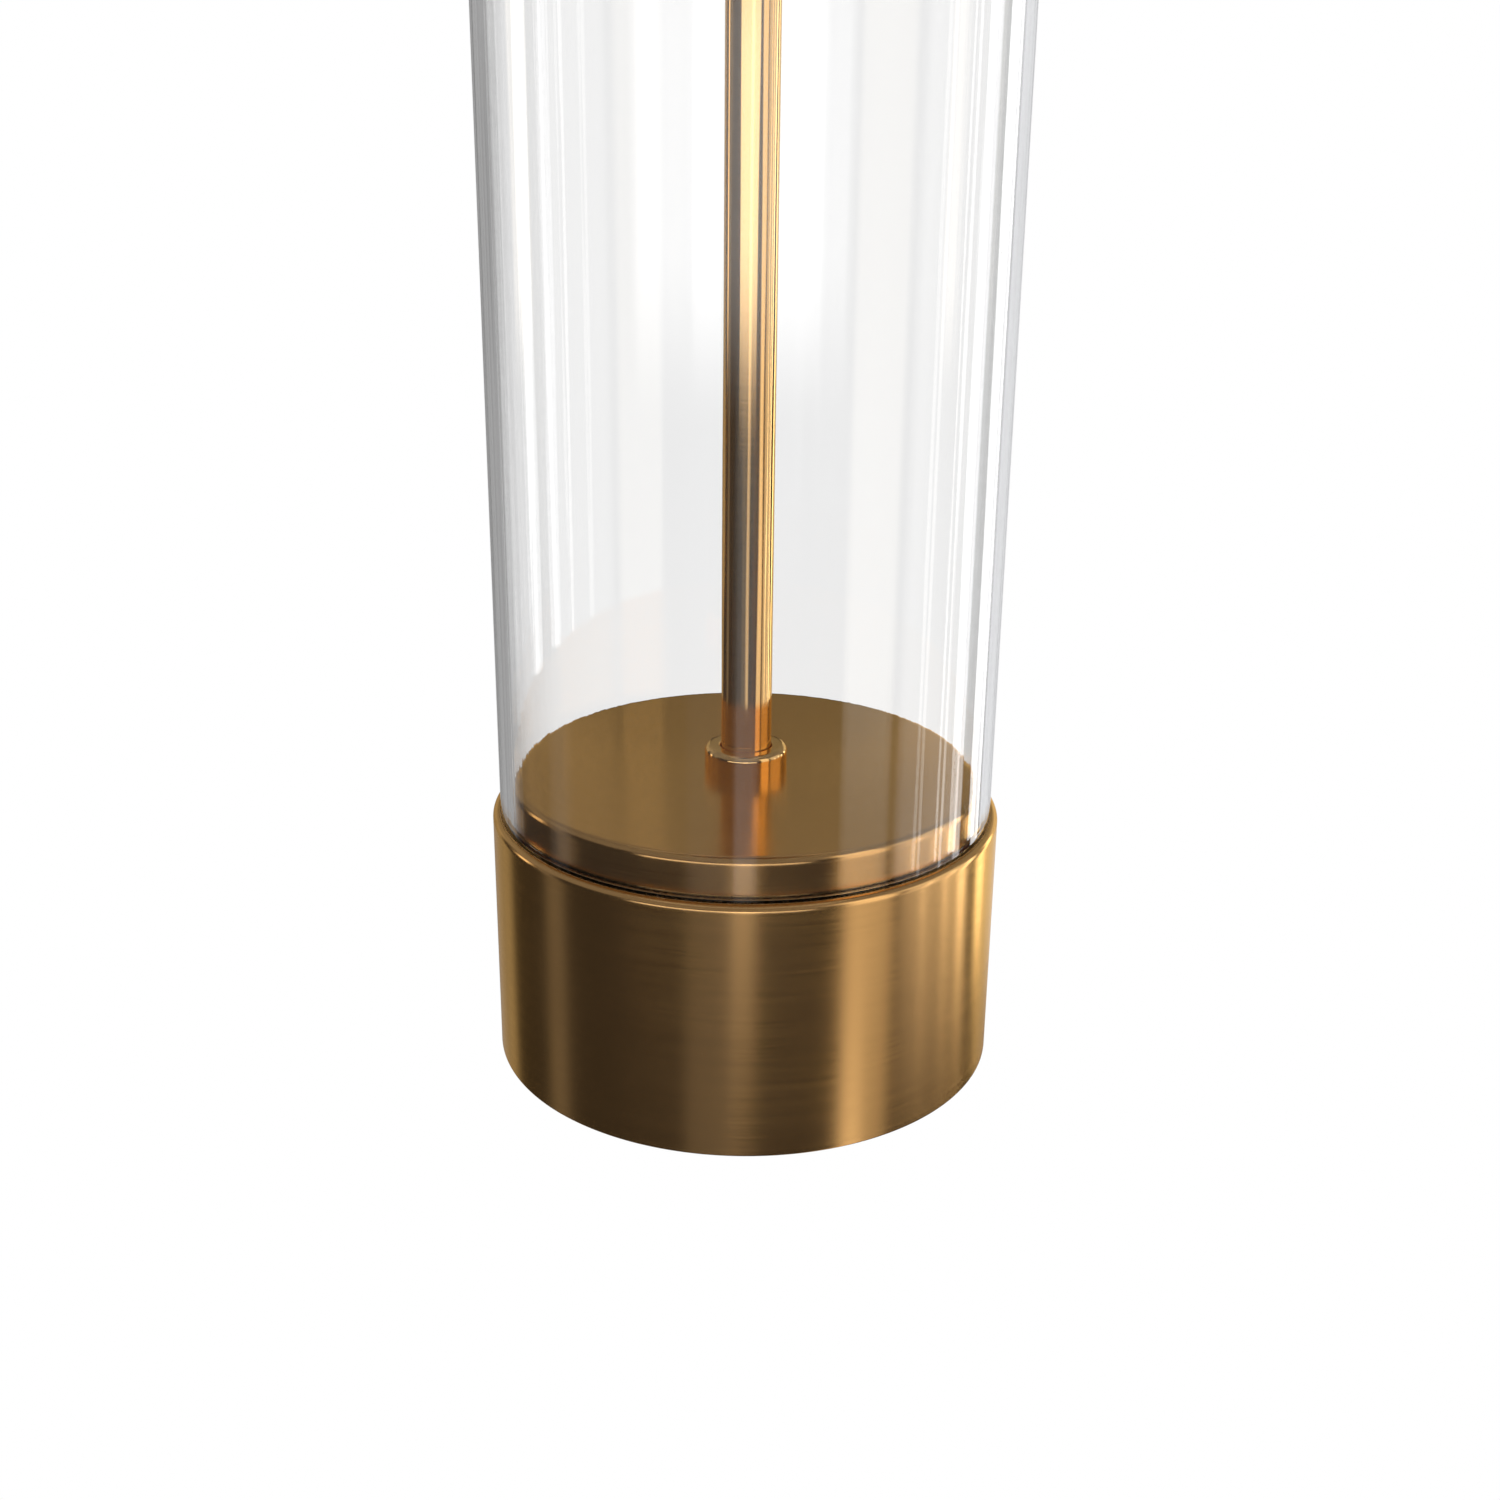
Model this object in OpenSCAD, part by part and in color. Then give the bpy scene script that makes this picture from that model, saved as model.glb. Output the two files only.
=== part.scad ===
// Table lamp: a clear glass column on a brushed brass drum, with a slim brass stem on its axis,
// a brass cap on top, a lamp socket and a fabric drum shade held by a harp.
// The origin is the centre of the lamp's footprint on the table, +Z is up and the switch faces -Y.

/* [Glass column] */
// Outside diameter of the glass tube
glass_od = 120; // [95:1:150]
// Wall of the glass tube
glass_wall = 3; // [2.5:0.1:4]
// Length of the glass tube
glass_length = 330; // [280:5:420]
// Rounding of the fire-polished rims
glass_edge = 0.3; // [0.2:0.1:1.2]
// Thickness of the soft rings under and over the glass
gasket_t = 0.5; // [0.3:0.1:2]

/* [Base drum] */
// Height of the drum from its lower edge to its lip
drum_h = 62.5; // [50:0.1:80]
// Wall of the drum and of the cap where they hold the glass
drum_wall = 1.65; // [1.5:0.05:2.5]
// Rounding of the outer edge of the lips
lip_round = 1.4; // [0.6:0.1:1.4]
// Gap between the glass and the wall around it
glass_play = 0.25; // [0.15:0.05:0.5]
// Depth of the recess in the drum that the glass stands in
seat_depth = 0.6; // [0.5:0.1:3]
// Depth to which the cap's skirt reaches down over the glass
skirt_depth = 12.5; // [8:0.5:16]
// Thickness of the deck under the glass
deck_t = 2; // [1.5:0.5:4]
// Height that the pad lifts the drum off the table
foot_gap = 0.8; // [0.5:0.1:1.5]
// Thickness of the felt pad
pad_t = 2; // [1.8:0.1:4]
// Gap between the pad and the drum's wall
pad_play = 1; // [0.5:0.5:3]
// Thickness of the iron weight's disc
weight_t = 26; // [20:1:34]
// Gap between the weight and the drum's wall
weight_play = 0.4; // [0.2:0.1:1]

/* [Plugs inside the glass] */
// Gap between a plug and the glass
plug_gap = 0.3; // [0.2:0.1:2]
// Height of the plug above the drum's lip
plug_rise = 9.75; // [5:0.05:16]
// Rounding of the plug's edge
plug_round = 1.75; // [0.8:0.05:2.4]
// Side wall of a plug
plug_wall = 2.5; // [2:0.5:5]
// Face of a plug
plug_face_t = 3; // [2.5:0.5:5]

/* [Stem] */
// Outside diameter of the threaded lamp pipe
pipe_od = 10; // [8:0.5:13]
// Wall of the lamp pipe
pipe_wall = 1.2; // [0.8:0.1:1.8]
// Wall of the brass sleeve around the pipe
stem_wall = 1; // [0.6:0.1:2]
// Wall of the collars around both ends of the sleeve
collar_wall = 3.7; // [2.5:0.05:6]
// Height of a collar
collar_h = 5.6; // [4:0.1:9]
// Rounding of a collar's edge
collar_round = 1.5; // [0.6:0.1:2]
// Rounding of the edge of a collar's bore
collar_bore_round = 0.5; // [0.2:0.1:0.8]

/* [Cord outlet] */
// Height of the outlet's axis above the table
outlet_z = 11; // [9.5:0.5:14]
// Bore of the outlet's bushing
outlet_bore = 7; // [5:0.5:8]
// Diameter of the bushing where it passes the drum's wall
outlet_barrel = 10; // [9:0.5:12]
// Diameter of the bushing's flange
outlet_flange = 14; // [13:0.5:16]

/* [Top cap and neck] */
// Thickness of the cap's roof over the glass
cap_roof_t = 3.5; // [2.5:0.5:6]
// Height of the turned neck
neck_h = 20; // [14:1:30]
// Wall of the neck at its waist
neck_wall = 2.35; // [1.5:0.05:4]
// Width that the neck's foot stands out from its waist
neck_foot_w = 5.5; // [4:0.5:9]
// Width of the ring between neck and saddle
check_ring_w = 5.35; // [4.5:0.05:8]
// Thickness of the ring between neck and saddle
check_ring_t = 2; // [1.5:0.5:4]

/* [Harp] */
// Diameter of the harp's wire
harp_wire = 3.2; // [2.8:0.1:3.6]
// Height of the harp from the saddle to the middle of its top wire
harp_h = 203; // [190:1:240]
// Width of the harp between the middles of its wires
harp_w = 104; // [96:1:120]
// Gap between a harp sleeve and the socket's cap
harp_foot_gap = 1.5; // [0.8:0.1:4]
// Thickness of the saddle's metal strip
saddle_t = 1.2; // [1:0.1:1.6]
// Width of the saddle's metal strip
saddle_w = 14; // [12:0.5:16]
// Length of a harp sleeve
sleeve_l = 13; // [10:0.5:14]
// Travel of a harp sleeve
sleeve_travel = 14; // [12:0.5:16]

/* [Socket] */
// Outside diameter of the socket's brass shell
socket_od = 37; // [36:0.2:46]
// Height of the socket's shell
socket_h = 47; // [44:0.5:52]
// Height of the straight rim above the bowl of the socket's cap
socket_rim_h = 6.85; // [5.5:0.05:10]
// Diameter of the switch knob
knob_od = 13; // [10:0.5:16]
// Length of the switch knob
knob_l = 14; // [10:0.5:18]
// Diameter of the switch shaft
shaft_d = 4; // [3:0.5:5]

/* [Bulb] */
// Largest diameter of the bulb
bulb_od = 60; // [55:1:64]
// Length of the bulb from its contact to its top
bulb_l = 104; // [98:1:112]
// Diameter of the bulb's screw cap
bulb_cap_od = 26.2; // [25.6:0.1:26.4]

/* [Shade] */
// Diameter of the shade at its lower edge
shade_bottom_od = 330; // [280:5:380]
// Diameter of the shade at its upper edge
shade_top_od = 305; // [260:5:360]
// Height of the shade
shade_h = 230; // [200:5:235]
// Thickness of the shade's panel
shade_t = 1.2; // [0.8:0.1:2]
// Diameter of the shade's ring and spider wires
shade_wire = 3; // [2.4:0.1:4]
// Drop of the spider's hub below the shade's upper edge
shade_drop = 14; // [8:1:20]

/* [Finial] */
// Height of the finial
finial_h = 31; // [24:1:40]
// Diameter of the finial's ball
finial_od = 17; // [14:0.5:22]

/* [Hidden] */
$fn = 96;

// Colours
brass = [0.72, 0.55, 0.32];
steel = [0.62, 0.63, 0.65];
iron = [0.25, 0.25, 0.27];

// Clearances: a slip fit that is put together once, a running fit, and a gap between moving faces
slip = 0.15;
running = 0.07;
face_gap = 0.3;
// How far a cutting shape reaches past what it cuts
over = 1;

// Radii of the glass and of the brass that holds it
glass_r = glass_od / 2;
glass_ri = glass_r - glass_wall;
drum_ri = glass_r + glass_play;
drum_r = drum_ri + drum_wall;
plug_r = glass_ri - plug_gap;

// Heights, from the table up
lip_z = foot_gap + drum_h;
deck_z = lip_z - seat_depth;
deck_under_z = deck_z - deck_t;
glass_z0 = deck_z + gasket_t;
glass_z1 = glass_z0 + glass_length;
plug_face_z = lip_z + plug_rise;
roof_z = glass_z1 + gasket_t;
cap_lip_z = roof_z - skirt_depth;
cap_top_z = roof_z + cap_roof_t;
top_plug_face_z = cap_lip_z - plug_rise;
neck_top_z = cap_top_z + neck_h;
saddle_z = neck_top_z + check_ring_t;
seat_z = saddle_z + saddle_t;
harp_top_z = seat_z + harp_h;

// Lamp pipe with its washer and nut in the weight's recess
pipe_r = pipe_od / 2;
pipe_ri = pipe_r - pipe_wall;
pipe_hole_r = pipe_r + slip;
nut_h = 5;
nut_flats = pipe_od * 1.5;
washer_t = 1.5;
washer_r = nut_flats / 2 + 3;
recess_r = washer_r + 4;
recess_z = 16.5;
pipe_z0 = recess_z - washer_t - nut_h - 1.5;
pipe_z1 = seat_z + 10;
bushing_lip_t = 1.2;
hub_r = recess_r - 4;

// Brass sleeve around the pipe and the collars around the sleeve
stem_r = pipe_hole_r + stem_wall;
collar_ri = stem_r + slip;
collar_r = collar_ri + collar_wall;

// Cord outlet
barrel_r = outlet_barrel / 2;
outlet_flange_t = 1.6;
outlet_inner_y = drum_ri - 7;
channel_w = outlet_flange + 2;

// Socket, from the seat up
shell_r = socket_od / 2;
shell_t = 0.5;
insulator_t = 0.6;
socket_rim_t = 0.7;
socket_rim_ri = shell_r + 0.1;
socket_rim_r = socket_rim_ri + socket_rim_t;
bowl_hub_w = 3;
bowl_r = socket_rim_r - pipe_hole_r - bowl_hub_w;
socket_cap_h = bowl_r + socket_rim_h;
shell_z0 = seat_z + socket_cap_h - 5;
shell_z1 = shell_z0 + socket_h;
insulator_r = shell_r - shell_t - 0.1;
core_r = insulator_r - insulator_t - 0.4;
core_z0 = shell_z0 + 4;
core_z1 = core_z0 + 18;
screw_t = 0.5;
screw_ri = bulb_cap_od / 2 + 0.2;
screw_z0 = core_z1 - 6;
screw_z1 = shell_z1 - 3;
contact_t = 0.8;
switch_z = core_z0 + 7;
shaft_r = shaft_d / 2;
shaft_in_y = core_r - 9;
bush_r = shaft_r + 2;
bush_out_y = shell_r + 3;
knob_in_y = bush_out_y + face_gap;

// Harp: foot, flare, side and top, drawn for one half
wire_r = harp_wire / 2;
ear_t = 1.2;
ear_w = 4;
ear_h = 10;
sleeve_bore_r = harp_wire - 0.05;
sleeve_r = sleeve_bore_r + 0.9;
sleeve_x = socket_rim_r + harp_foot_gap + sleeve_r;
foot_x = sleeve_x + sleeve_bore_r - wire_r - slip;
ear_x = foot_x - wire_r - 0.05 - ear_t;
sleeve_z = seat_z + 1;
flare_z = sleeve_z + sleeve_l + sleeve_travel + 1;
flare_angle = 42;
flare_r_low = 14;
flare_r_high = 26;
side_x = harp_w / 2;
top_r = 44;
joint_gap = 0.1;
arc_shift = (flare_r_low + flare_r_high) * (1 - cos(flare_angle));
flare_l = (side_x - foot_x - arc_shift) / sin(flare_angle);
flare_end_z = flare_z + (flare_r_low + flare_r_high) * sin(flare_angle) + flare_l * cos(flare_angle);

// Stud on the harp, with the shade's hub and the finial on it
boss_r = 5;
boss_z0 = harp_top_z - wire_r - 1.6;
shoulder_z = harp_top_z + wire_r + 2;
shoulder_t = 1.6;
shoulder_r = 9;
stud_r = 3.1;
hub_z = shoulder_z + shoulder_t + face_gap;
hub_t = 1.6;
hub_od = 25;
finial_z = hub_z + hub_t + face_gap;
stud_z1 = finial_z + 11;

// Shade
shade_z1 = hub_z + shade_drop;
shade_z0 = shade_z1 - shade_h;
shade_wire_r = shade_wire / 2;
shade_slope = (shade_bottom_od - shade_top_od) / 2 / shade_h;
ring_inset = shade_wire_r + 1;
top_ring_r = shade_top_od / 2 + ring_inset * shade_slope - shade_t - shade_wire_r - 0.1;
bottom_ring_r = shade_bottom_od / 2 - ring_inset * shade_slope - shade_t - shade_wire_r - 0.1;
arm_count = 3;
arm_r = shade_wire_r - 0.2;

// Bulb
contact_tip_z = core_z1 + contact_t + face_gap;
tip_h = 1.6;
collar_cone_h = 3.6;
bulb_cap_z0 = contact_tip_z + tip_h + collar_cone_h;
bulb_cap_z1 = bulb_cap_z0 + 20;
bulb_cap_r = bulb_cap_od / 2;
bulb_t = 0.8;
bulb_r = bulb_od / 2;
bulb_top_z = contact_tip_z + bulb_l;
bulb_mid_z = bulb_top_z - bulb_r;
bulb_cap_t = 0.5;
bulb_neck_r = bulb_cap_r - bulb_cap_t - 0.1;

// What a rounding of radius r takes off the corner at p of a profile. Turned by 0 the corner
// points right and up, and each quarter turn moves it on: 90 left and up, 270 right and down.
module corner_cut(p, r, turn) {
    translate(p) rotate(turn) translate([-r, -r]) difference() {
        square(r + over);
        circle(r);
    }
}

// Ring-shaped or disc-shaped profile between two radii and two heights
module band(r0, r1, z0, z1) {
    translate([r0, z0]) square([r1 - r0, z1 - z0]);
}

// Turned tube between two radii and two heights
module tube(r0, r1, z0, z1) {
    rotate_extrude() band(r0, r1, z0, z1);
}

// Turned torus of wire
module wire_ring(ring_r, wire, z) {
    translate([0, 0, z]) rotate_extrude() translate([ring_r, 0]) circle(wire);
}

// Lip that holds the glass: the wall of the drum and, upside down, of the cap
module lip_corners(z) {
    corner_cut([drum_r, z], lip_round, 0);
    corner_cut([drum_ri, z], min(0.4, drum_wall - lip_round - 0.05), 90);
}

// Plug with a rounded edge, open at its back. Its face is at height h above its back
module plug(h) {
    rotate_extrude() difference() {
        band(pipe_hole_r, plug_r, 0, h);
        band(hub_r, plug_r - plug_wall, -over, h - plug_face_t);
        corner_cut([plug_r, h], plug_round, 0);
    }
}

// Collar around the stem with one rounded edge
module collar() {
    rotate_extrude() difference() {
        band(collar_ri, collar_r, 0, collar_h);
        corner_cut([collar_r, collar_h], collar_round, 0);
        corner_cut([collar_ri, collar_h], collar_bore_round, 90);
    }
}

// Soft ring that the end of the glass rests against
module gasket(z) {
    tube(plug_r + slip, drum_ri - slip, z, z + gasket_t);
}

// Base

module felt_pad() {
    color([0.13, 0.12, 0.11]) tube(0, drum_ri - pad_play, 0, pad_t);
}

// Cast disc with a hub up to the deck, a recess for the nut and an open channel for the cord
module base_weight() {
    weight_r = drum_ri - weight_play;
    color(iron) difference() {
        rotate_extrude() difference() {
            union() {
                band(pipe_hole_r, weight_r, pad_t, pad_t + weight_t);
                band(pipe_hole_r, hub_r, pad_t, deck_under_z);
            }
            band(0, recess_r, 0, recess_z);
            corner_cut([weight_r, pad_t + weight_t], 2, 0);
        }
        translate([-channel_w / 2, 0, 0])
            cube([channel_w, drum_r + over, outlet_z + outlet_flange / 2 + 1]);
    }
}

// Turned drum: wall with a lip, and the deck that carries glass and plug
module base_drum() {
    color(brass) difference() {
        rotate_extrude() difference() {
            union() {
                band(drum_ri, drum_r, foot_gap, lip_z);
                band(pipe_hole_r, drum_ri + drum_wall / 2, deck_under_z, deck_z);
            }
            lip_corners(lip_z);
            corner_cut([drum_r, foot_gap], 0.3, 270);
        }
        translate([0, 0, outlet_z]) rotate([-90, 0, 0]) cylinder(r = barrel_r + slip, h = drum_r + over);
    }
}

module base_plug() {
    color(brass) translate([0, 0, deck_z]) plug(plug_face_z - deck_z);
}

module lower_gasket() {
    color([0.85, 0.86, 0.86]) gasket(deck_z);
}

// Insulating bushing in the drum's wall: barrel, outer flange and inner shoulder, bored through
module cord_bushing() {
    color([0.08, 0.08, 0.08]) translate([0, 0, outlet_z]) rotate([-90, 0, 0])
        rotate_extrude() difference() {
            union() {
                band(outlet_bore / 2, barrel_r, outlet_inner_y, drum_r);
                band(outlet_bore / 2, outlet_flange / 2, drum_r, drum_r + outlet_flange_t);
            }
            corner_cut([outlet_flange / 2, drum_r + outlet_flange_t], 0.7, 0);
            corner_cut([outlet_bore / 2, drum_r + outlet_flange_t], 0.5, 90);
        }
}

// Stem

module bottom_washer() {
    color(steel) tube(pipe_hole_r, washer_r, recess_z - washer_t, recess_z);
}

module bottom_nut() {
    nut_z = recess_z - washer_t - nut_h;
    color(steel) translate([0, 0, nut_z]) difference() {
        cylinder(r = nut_flats / 2 / cos(30), h = nut_h, $fn = 6);
        translate([0, 0, -over]) cylinder(r = pipe_r, h = nut_h + 2 * over);
    }
}

// Insulating bushing pressed into the lower end of the pipe
module pipe_bushing() {
    color([0.9, 0.9, 0.88]) rotate_extrude() {
        band(pipe_ri - 0.8, pipe_ri, pipe_z0 - bushing_lip_t / 2, pipe_z0 + 6);
        band(pipe_ri - 0.8, pipe_r, pipe_z0 - bushing_lip_t, pipe_z0);
    }
}

module lamp_pipe() {
    color(steel) tube(pipe_ri, pipe_r, pipe_z0, pipe_z1);
}

module stem_sleeve() {
    color(brass) tube(pipe_hole_r, stem_r, plug_face_z, top_plug_face_z);
}

module lower_collar() {
    color(brass) translate([0, 0, plug_face_z]) collar();
}

// Glass column

module glass_tube() {
    color([0.85, 0.92, 0.95, 0.35]) rotate_extrude() difference() {
        band(glass_ri, glass_r, glass_z0, glass_z1);
        corner_cut([glass_r, glass_z1], glass_edge, 0);
        corner_cut([glass_ri, glass_z1], glass_edge, 90);
        corner_cut([glass_ri, glass_z0], glass_edge, 180);
        corner_cut([glass_r, glass_z0], glass_edge, 270);
    }
}

// Top of the column

module upper_collar() {
    color(brass) translate([0, 0, top_plug_face_z]) mirror([0, 0, 1]) collar();
}

module top_plug() {
    color(brass) translate([0, 0, roof_z]) mirror([0, 0, 1]) plug(roof_z - top_plug_face_z);
}

module upper_gasket() {
    color([0.85, 0.86, 0.86]) gasket(glass_z1);
}

module top_cap() {
    color(brass) translate([0, 0, cap_top_z]) mirror([0, 0, 1]) rotate_extrude() difference() {
        band(pipe_hole_r, drum_r, 0, cap_top_z - cap_lip_z);
        band(0, drum_ri, cap_roof_t, cap_top_z);
        lip_corners(cap_top_z - cap_lip_z);
        corner_cut([drum_r, 0], plug_round, 270);
    }
}

// Turned neck: a wide foot that curves into a narrow waist and a small head
module neck() {
    waist_r = pipe_hole_r + neck_wall;
    foot_r = waist_r + neck_foot_w;
    foot_t = 3;
    head_t = 3;
    sweep_r = foot_r - waist_r - 1;
    color(brass) translate([0, 0, cap_top_z]) rotate_extrude() difference() {
        union() {
            band(pipe_hole_r, waist_r, 0, neck_h);
            band(pipe_hole_r, foot_r, 0, foot_t);
            band(pipe_hole_r, waist_r + sweep_r, 0, foot_t + sweep_r);
            band(pipe_hole_r, waist_r + 2, neck_h - head_t, neck_h);
        }
        translate([waist_r + sweep_r, foot_t + sweep_r]) circle(sweep_r);
        corner_cut([foot_r, foot_t], 0.8, 0);
        corner_cut([waist_r + 2, neck_h], 0.8, 0);
        corner_cut([waist_r + 2, neck_h - head_t], 0.8, 270);
    }
}

module check_ring() {
    ring_r = pipe_hole_r + check_ring_w;
    color(brass) rotate_extrude() difference() {
        band(pipe_hole_r, ring_r, neck_top_z, saddle_z);
        corner_cut([ring_r, saddle_z], check_ring_t / 3, 0);
        corner_cut([ring_r, neck_top_z], check_ring_t / 3, 270);
    }
}

// Harp

// Bent strip with an ear at each end and a hole for the pipe
module harp_saddle() {
    strip_l = 2 * (ear_x + ear_t);
    color(steel) difference() {
        union() {
            translate([-strip_l / 2, -ear_w / 2, saddle_z]) cube([strip_l, ear_w, saddle_t]);
            intersection() {
                translate([0, 0, saddle_z]) cylinder(r = saddle_w, h = saddle_t);
                translate([-strip_l / 2, -saddle_w / 2, saddle_z]) cube([strip_l, saddle_w, saddle_t]);
            }
            for (side = [-1, 1])
                translate([side * (ear_x + ear_t / 2) - ear_t / 2, -ear_w / 2, saddle_z])
                    cube([ear_t, ear_w, saddle_t + ear_h]);
        }
        translate([0, 0, saddle_z - over]) cylinder(r = pipe_hole_r, h = saddle_t + 2 * over);
    }
}

// Piece of wire bent to an arc in the XZ plane around c, from angle a0 on through sweep degrees.
// It stops short of its ends by the same gap as the straight pieces, and wire_joint() fills the gaps
module bent_wire(c, r, a0, sweep) {
    trim = asin(joint_gap / r);
    translate([c[0], 0, c[1]]) rotate([90, 0, 0]) rotate([0, 0, a0 + trim])
        rotate_extrude(angle = sweep - 2 * trim) translate([r, 0]) circle(wire_r);
}

// Straight piece of wire in the XZ plane from p, leaning from the vertical by an angle
module straight_wire(p, lean, l) {
    translate([p[0], 0, p[1]]) rotate([0, lean, 0]) translate([0, 0, joint_gap])
        cylinder(r = wire_r, h = l - 2 * joint_gap);
}

// Ball that joins two pieces of wire end to end
module wire_joint(p) {
    translate([p[0], 0, p[1]]) sphere(r = wire_r + 0.02, $fn = 48);
}

// Right half of the harp: foot, flare, side and top
module harp_half() {
    low = [foot_x + flare_r_low, flare_z];
    high = [side_x - flare_r_high, flare_end_z];
    turn = [cos(flare_angle), sin(flare_angle)];
    flare_start = [low[0] - flare_r_low * turn[0], low[1] + flare_r_low * turn[1]];
    flare_end = [high[0] + flare_r_high * turn[0], high[1] - flare_r_high * turn[1]];
    top_arc = [side_x - top_r, harp_top_z - top_r];
    translate([foot_x, 0, seat_z]) cylinder(r = wire_r, h = flare_z - seat_z - joint_gap);
    wire_joint([foot_x, flare_z]);
    bent_wire(low, flare_r_low, 180 - flare_angle, flare_angle);
    wire_joint(flare_start);
    straight_wire(flare_start, flare_angle, flare_l);
    wire_joint(flare_end);
    bent_wire(high, flare_r_high, -flare_angle, flare_angle);
    wire_joint([side_x, flare_end_z]);
    straight_wire([side_x, flare_end_z], 0, top_arc[1] - flare_end_z);
    wire_joint([side_x, top_arc[1]]);
    bent_wire(top_arc, top_r, 0, 90);
    wire_joint([top_arc[0], harp_top_z]);
}

module harp() {
    color(brass) {
        harp_half();
        mirror([1, 0, 0]) harp_half();
        straight_wire([top_r - side_x, harp_top_z], 90, 2 * (side_x - top_r));
    }
}

// Riveted boss on the harp's top wire, with a shoulder for the shade and a threaded stud
module harp_stud() {
    color(brass) difference() {
        union() {
            translate([0, 0, boss_z0]) cylinder(r = boss_r, h = shoulder_z - boss_z0);
            translate([0, 0, shoulder_z]) cylinder(r = shoulder_r, h = shoulder_t);
            translate([0, 0, shoulder_z]) cylinder(r = stud_r, h = stud_z1 - shoulder_z);
        }
        translate([-boss_r - over, 0, harp_top_z]) rotate([0, 90, 0])
            cylinder(r = wire_r + 0.02, h = 2 * (boss_r + over));
    }
}

// Sliding ferrule that locks a foot of the harp to its ear
module harp_sleeve(side) {
    color(brass) translate([side * sleeve_x, 0, sleeve_z]) rotate_extrude() difference() {
        band(sleeve_bore_r, sleeve_r, 0, sleeve_l);
        corner_cut([sleeve_r, sleeve_l], 0.5, 0);
        corner_cut([sleeve_r, 0], 0.5, 270);
    }
}

module harp_sleeve_left() {
    harp_sleeve(-1);
}

module harp_sleeve_right() {
    harp_sleeve(1);
}

// Socket

// Bowl-shaped cap, threaded on the pipe, with a straight rim that the shell slips into
module socket_cap() {
    bowl_x = socket_rim_r - bowl_r;
    color(brass) translate([0, 0, seat_z]) rotate_extrude() difference() {
        union() {
            band(pipe_hole_r, bowl_x, 0, 10);
            intersection() {
                translate([bowl_x, bowl_r]) circle(bowl_r);
                band(bowl_x, socket_rim_r, 0, bowl_r);
            }
            band(bowl_x, socket_rim_r, bowl_r, socket_cap_h);
        }
        intersection() {
            translate([bowl_x, bowl_r]) circle(bowl_r - 1.2);
            band(bowl_x, socket_rim_r, 0, bowl_r);
        }
        band(bowl_x, socket_rim_ri, bowl_r, socket_cap_h + over);
    }
}

// Thin brass shell with an opening for the switch
module socket_shell() {
    color(brass) difference() {
        tube(shell_r - shell_t, shell_r, shell_z0, shell_z1);
        translate([0, 0, switch_z]) rotate([90, 0, 0]) cylinder(r = bush_r + slip, h = shell_r + over);
    }
}

module socket_insulator() {
    color([0.55, 0.42, 0.28]) difference() {
        tube(insulator_r - insulator_t, insulator_r, shell_z0 + 2, shell_z1 - 1.5);
        translate([0, 0, switch_z]) rotate([90, 0, 0]) cylinder(r = bush_r + slip, h = shell_r + over);
    }
}

// Moulded core: a block with the switch inside and a seat for the screw shell on top
module socket_core() {
    screw_or = screw_ri + screw_t;
    color([0.1, 0.1, 0.1]) difference() {
        union() {
            translate([0, 0, core_z0]) cylinder(r = core_r, h = core_z1 - core_z0 - 6);
            translate([0, 0, core_z0]) cylinder(r = screw_ri - 0.1, h = core_z1 - core_z0);
        }
        translate([0, 0, switch_z]) rotate([90, 0, 0]) {
            translate([0, 0, shaft_in_y - 1]) cylinder(r = shaft_r + running, h = core_r);
            translate([0, 0, core_r - 4]) cylinder(r = bush_r + 0.02, h = core_r);
        }
        for (side = [-1, 1]) translate([side * (core_r + over), 0, core_z0 + 5])
            rotate([0, -90 * side, 0]) cylinder(r = 1.55, h = 6 + over);
        translate([0, 0, core_z0 - over]) cylinder(r = 3, h = 3);
    }
}

module screw_shell() {
    color(brass) tube(screw_ri, screw_ri + screw_t, screw_z0, screw_z1);
}

// Contact leaf in the bottom of the socket
module centre_contact() {
    color(brass) translate([0, 0, core_z1]) {
        cylinder(r = 3.2, h = contact_t);
        translate([0, -2.5, 0]) cube([9, 5, contact_t / 2]);
    }
}

module terminal_screws() {
    color(brass) for (side = [-1, 1])
        translate([side * (core_r - 5), 0, core_z0 + 5]) rotate([0, 90 * side, 0]) cylinder(r = 1.5, h = 5);
}

// Threaded bushing that carries the switch shaft through the shell
module switch_bushing() {
    color(brass) translate([0, 0, switch_z]) rotate([90, 0, 0])
        tube(shaft_r + running, bush_r, core_r - 4, bush_out_y);
}

module switch_shaft() {
    color(steel) translate([0, 0, switch_z]) rotate([90, 0, 0])
        translate([0, 0, shaft_in_y]) cylinder(r = shaft_r, h = knob_in_y + knob_l - 3 - shaft_in_y);
}

// Turned knob with flutes around its grip
module switch_knob() {
    knob_r = knob_od / 2;
    flutes = 16;
    color([0.1, 0.1, 0.1]) translate([0, 0, switch_z]) rotate([90, 0, 0]) difference() {
        rotate_extrude() difference() {
            band(0, knob_r, knob_in_y, knob_in_y + knob_l);
            band(0, shaft_r, knob_in_y - over, knob_in_y + knob_l - 3);
            corner_cut([knob_r, knob_in_y + knob_l], 1.2, 0);
        }
        for (i = [0:flutes - 1]) rotate([0, 0, i * 360 / flutes])
            translate([knob_r + 0.6, 0, knob_in_y + 2]) cylinder(r = 1, h = knob_l, $fn = 24);
    }
}

// Bulb

// Point at u, from 0 to 1, of the smooth curve from p0 to p3 that leaves towards p1 and arrives from p2
function curve_point(p0, p1, p2, p3, u) =
    pow(1 - u, 3) * p0 + 3 * pow(1 - u, 2) * u * p1 + 3 * (1 - u) * u * u * p2 + pow(u, 3) * p3;

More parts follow.
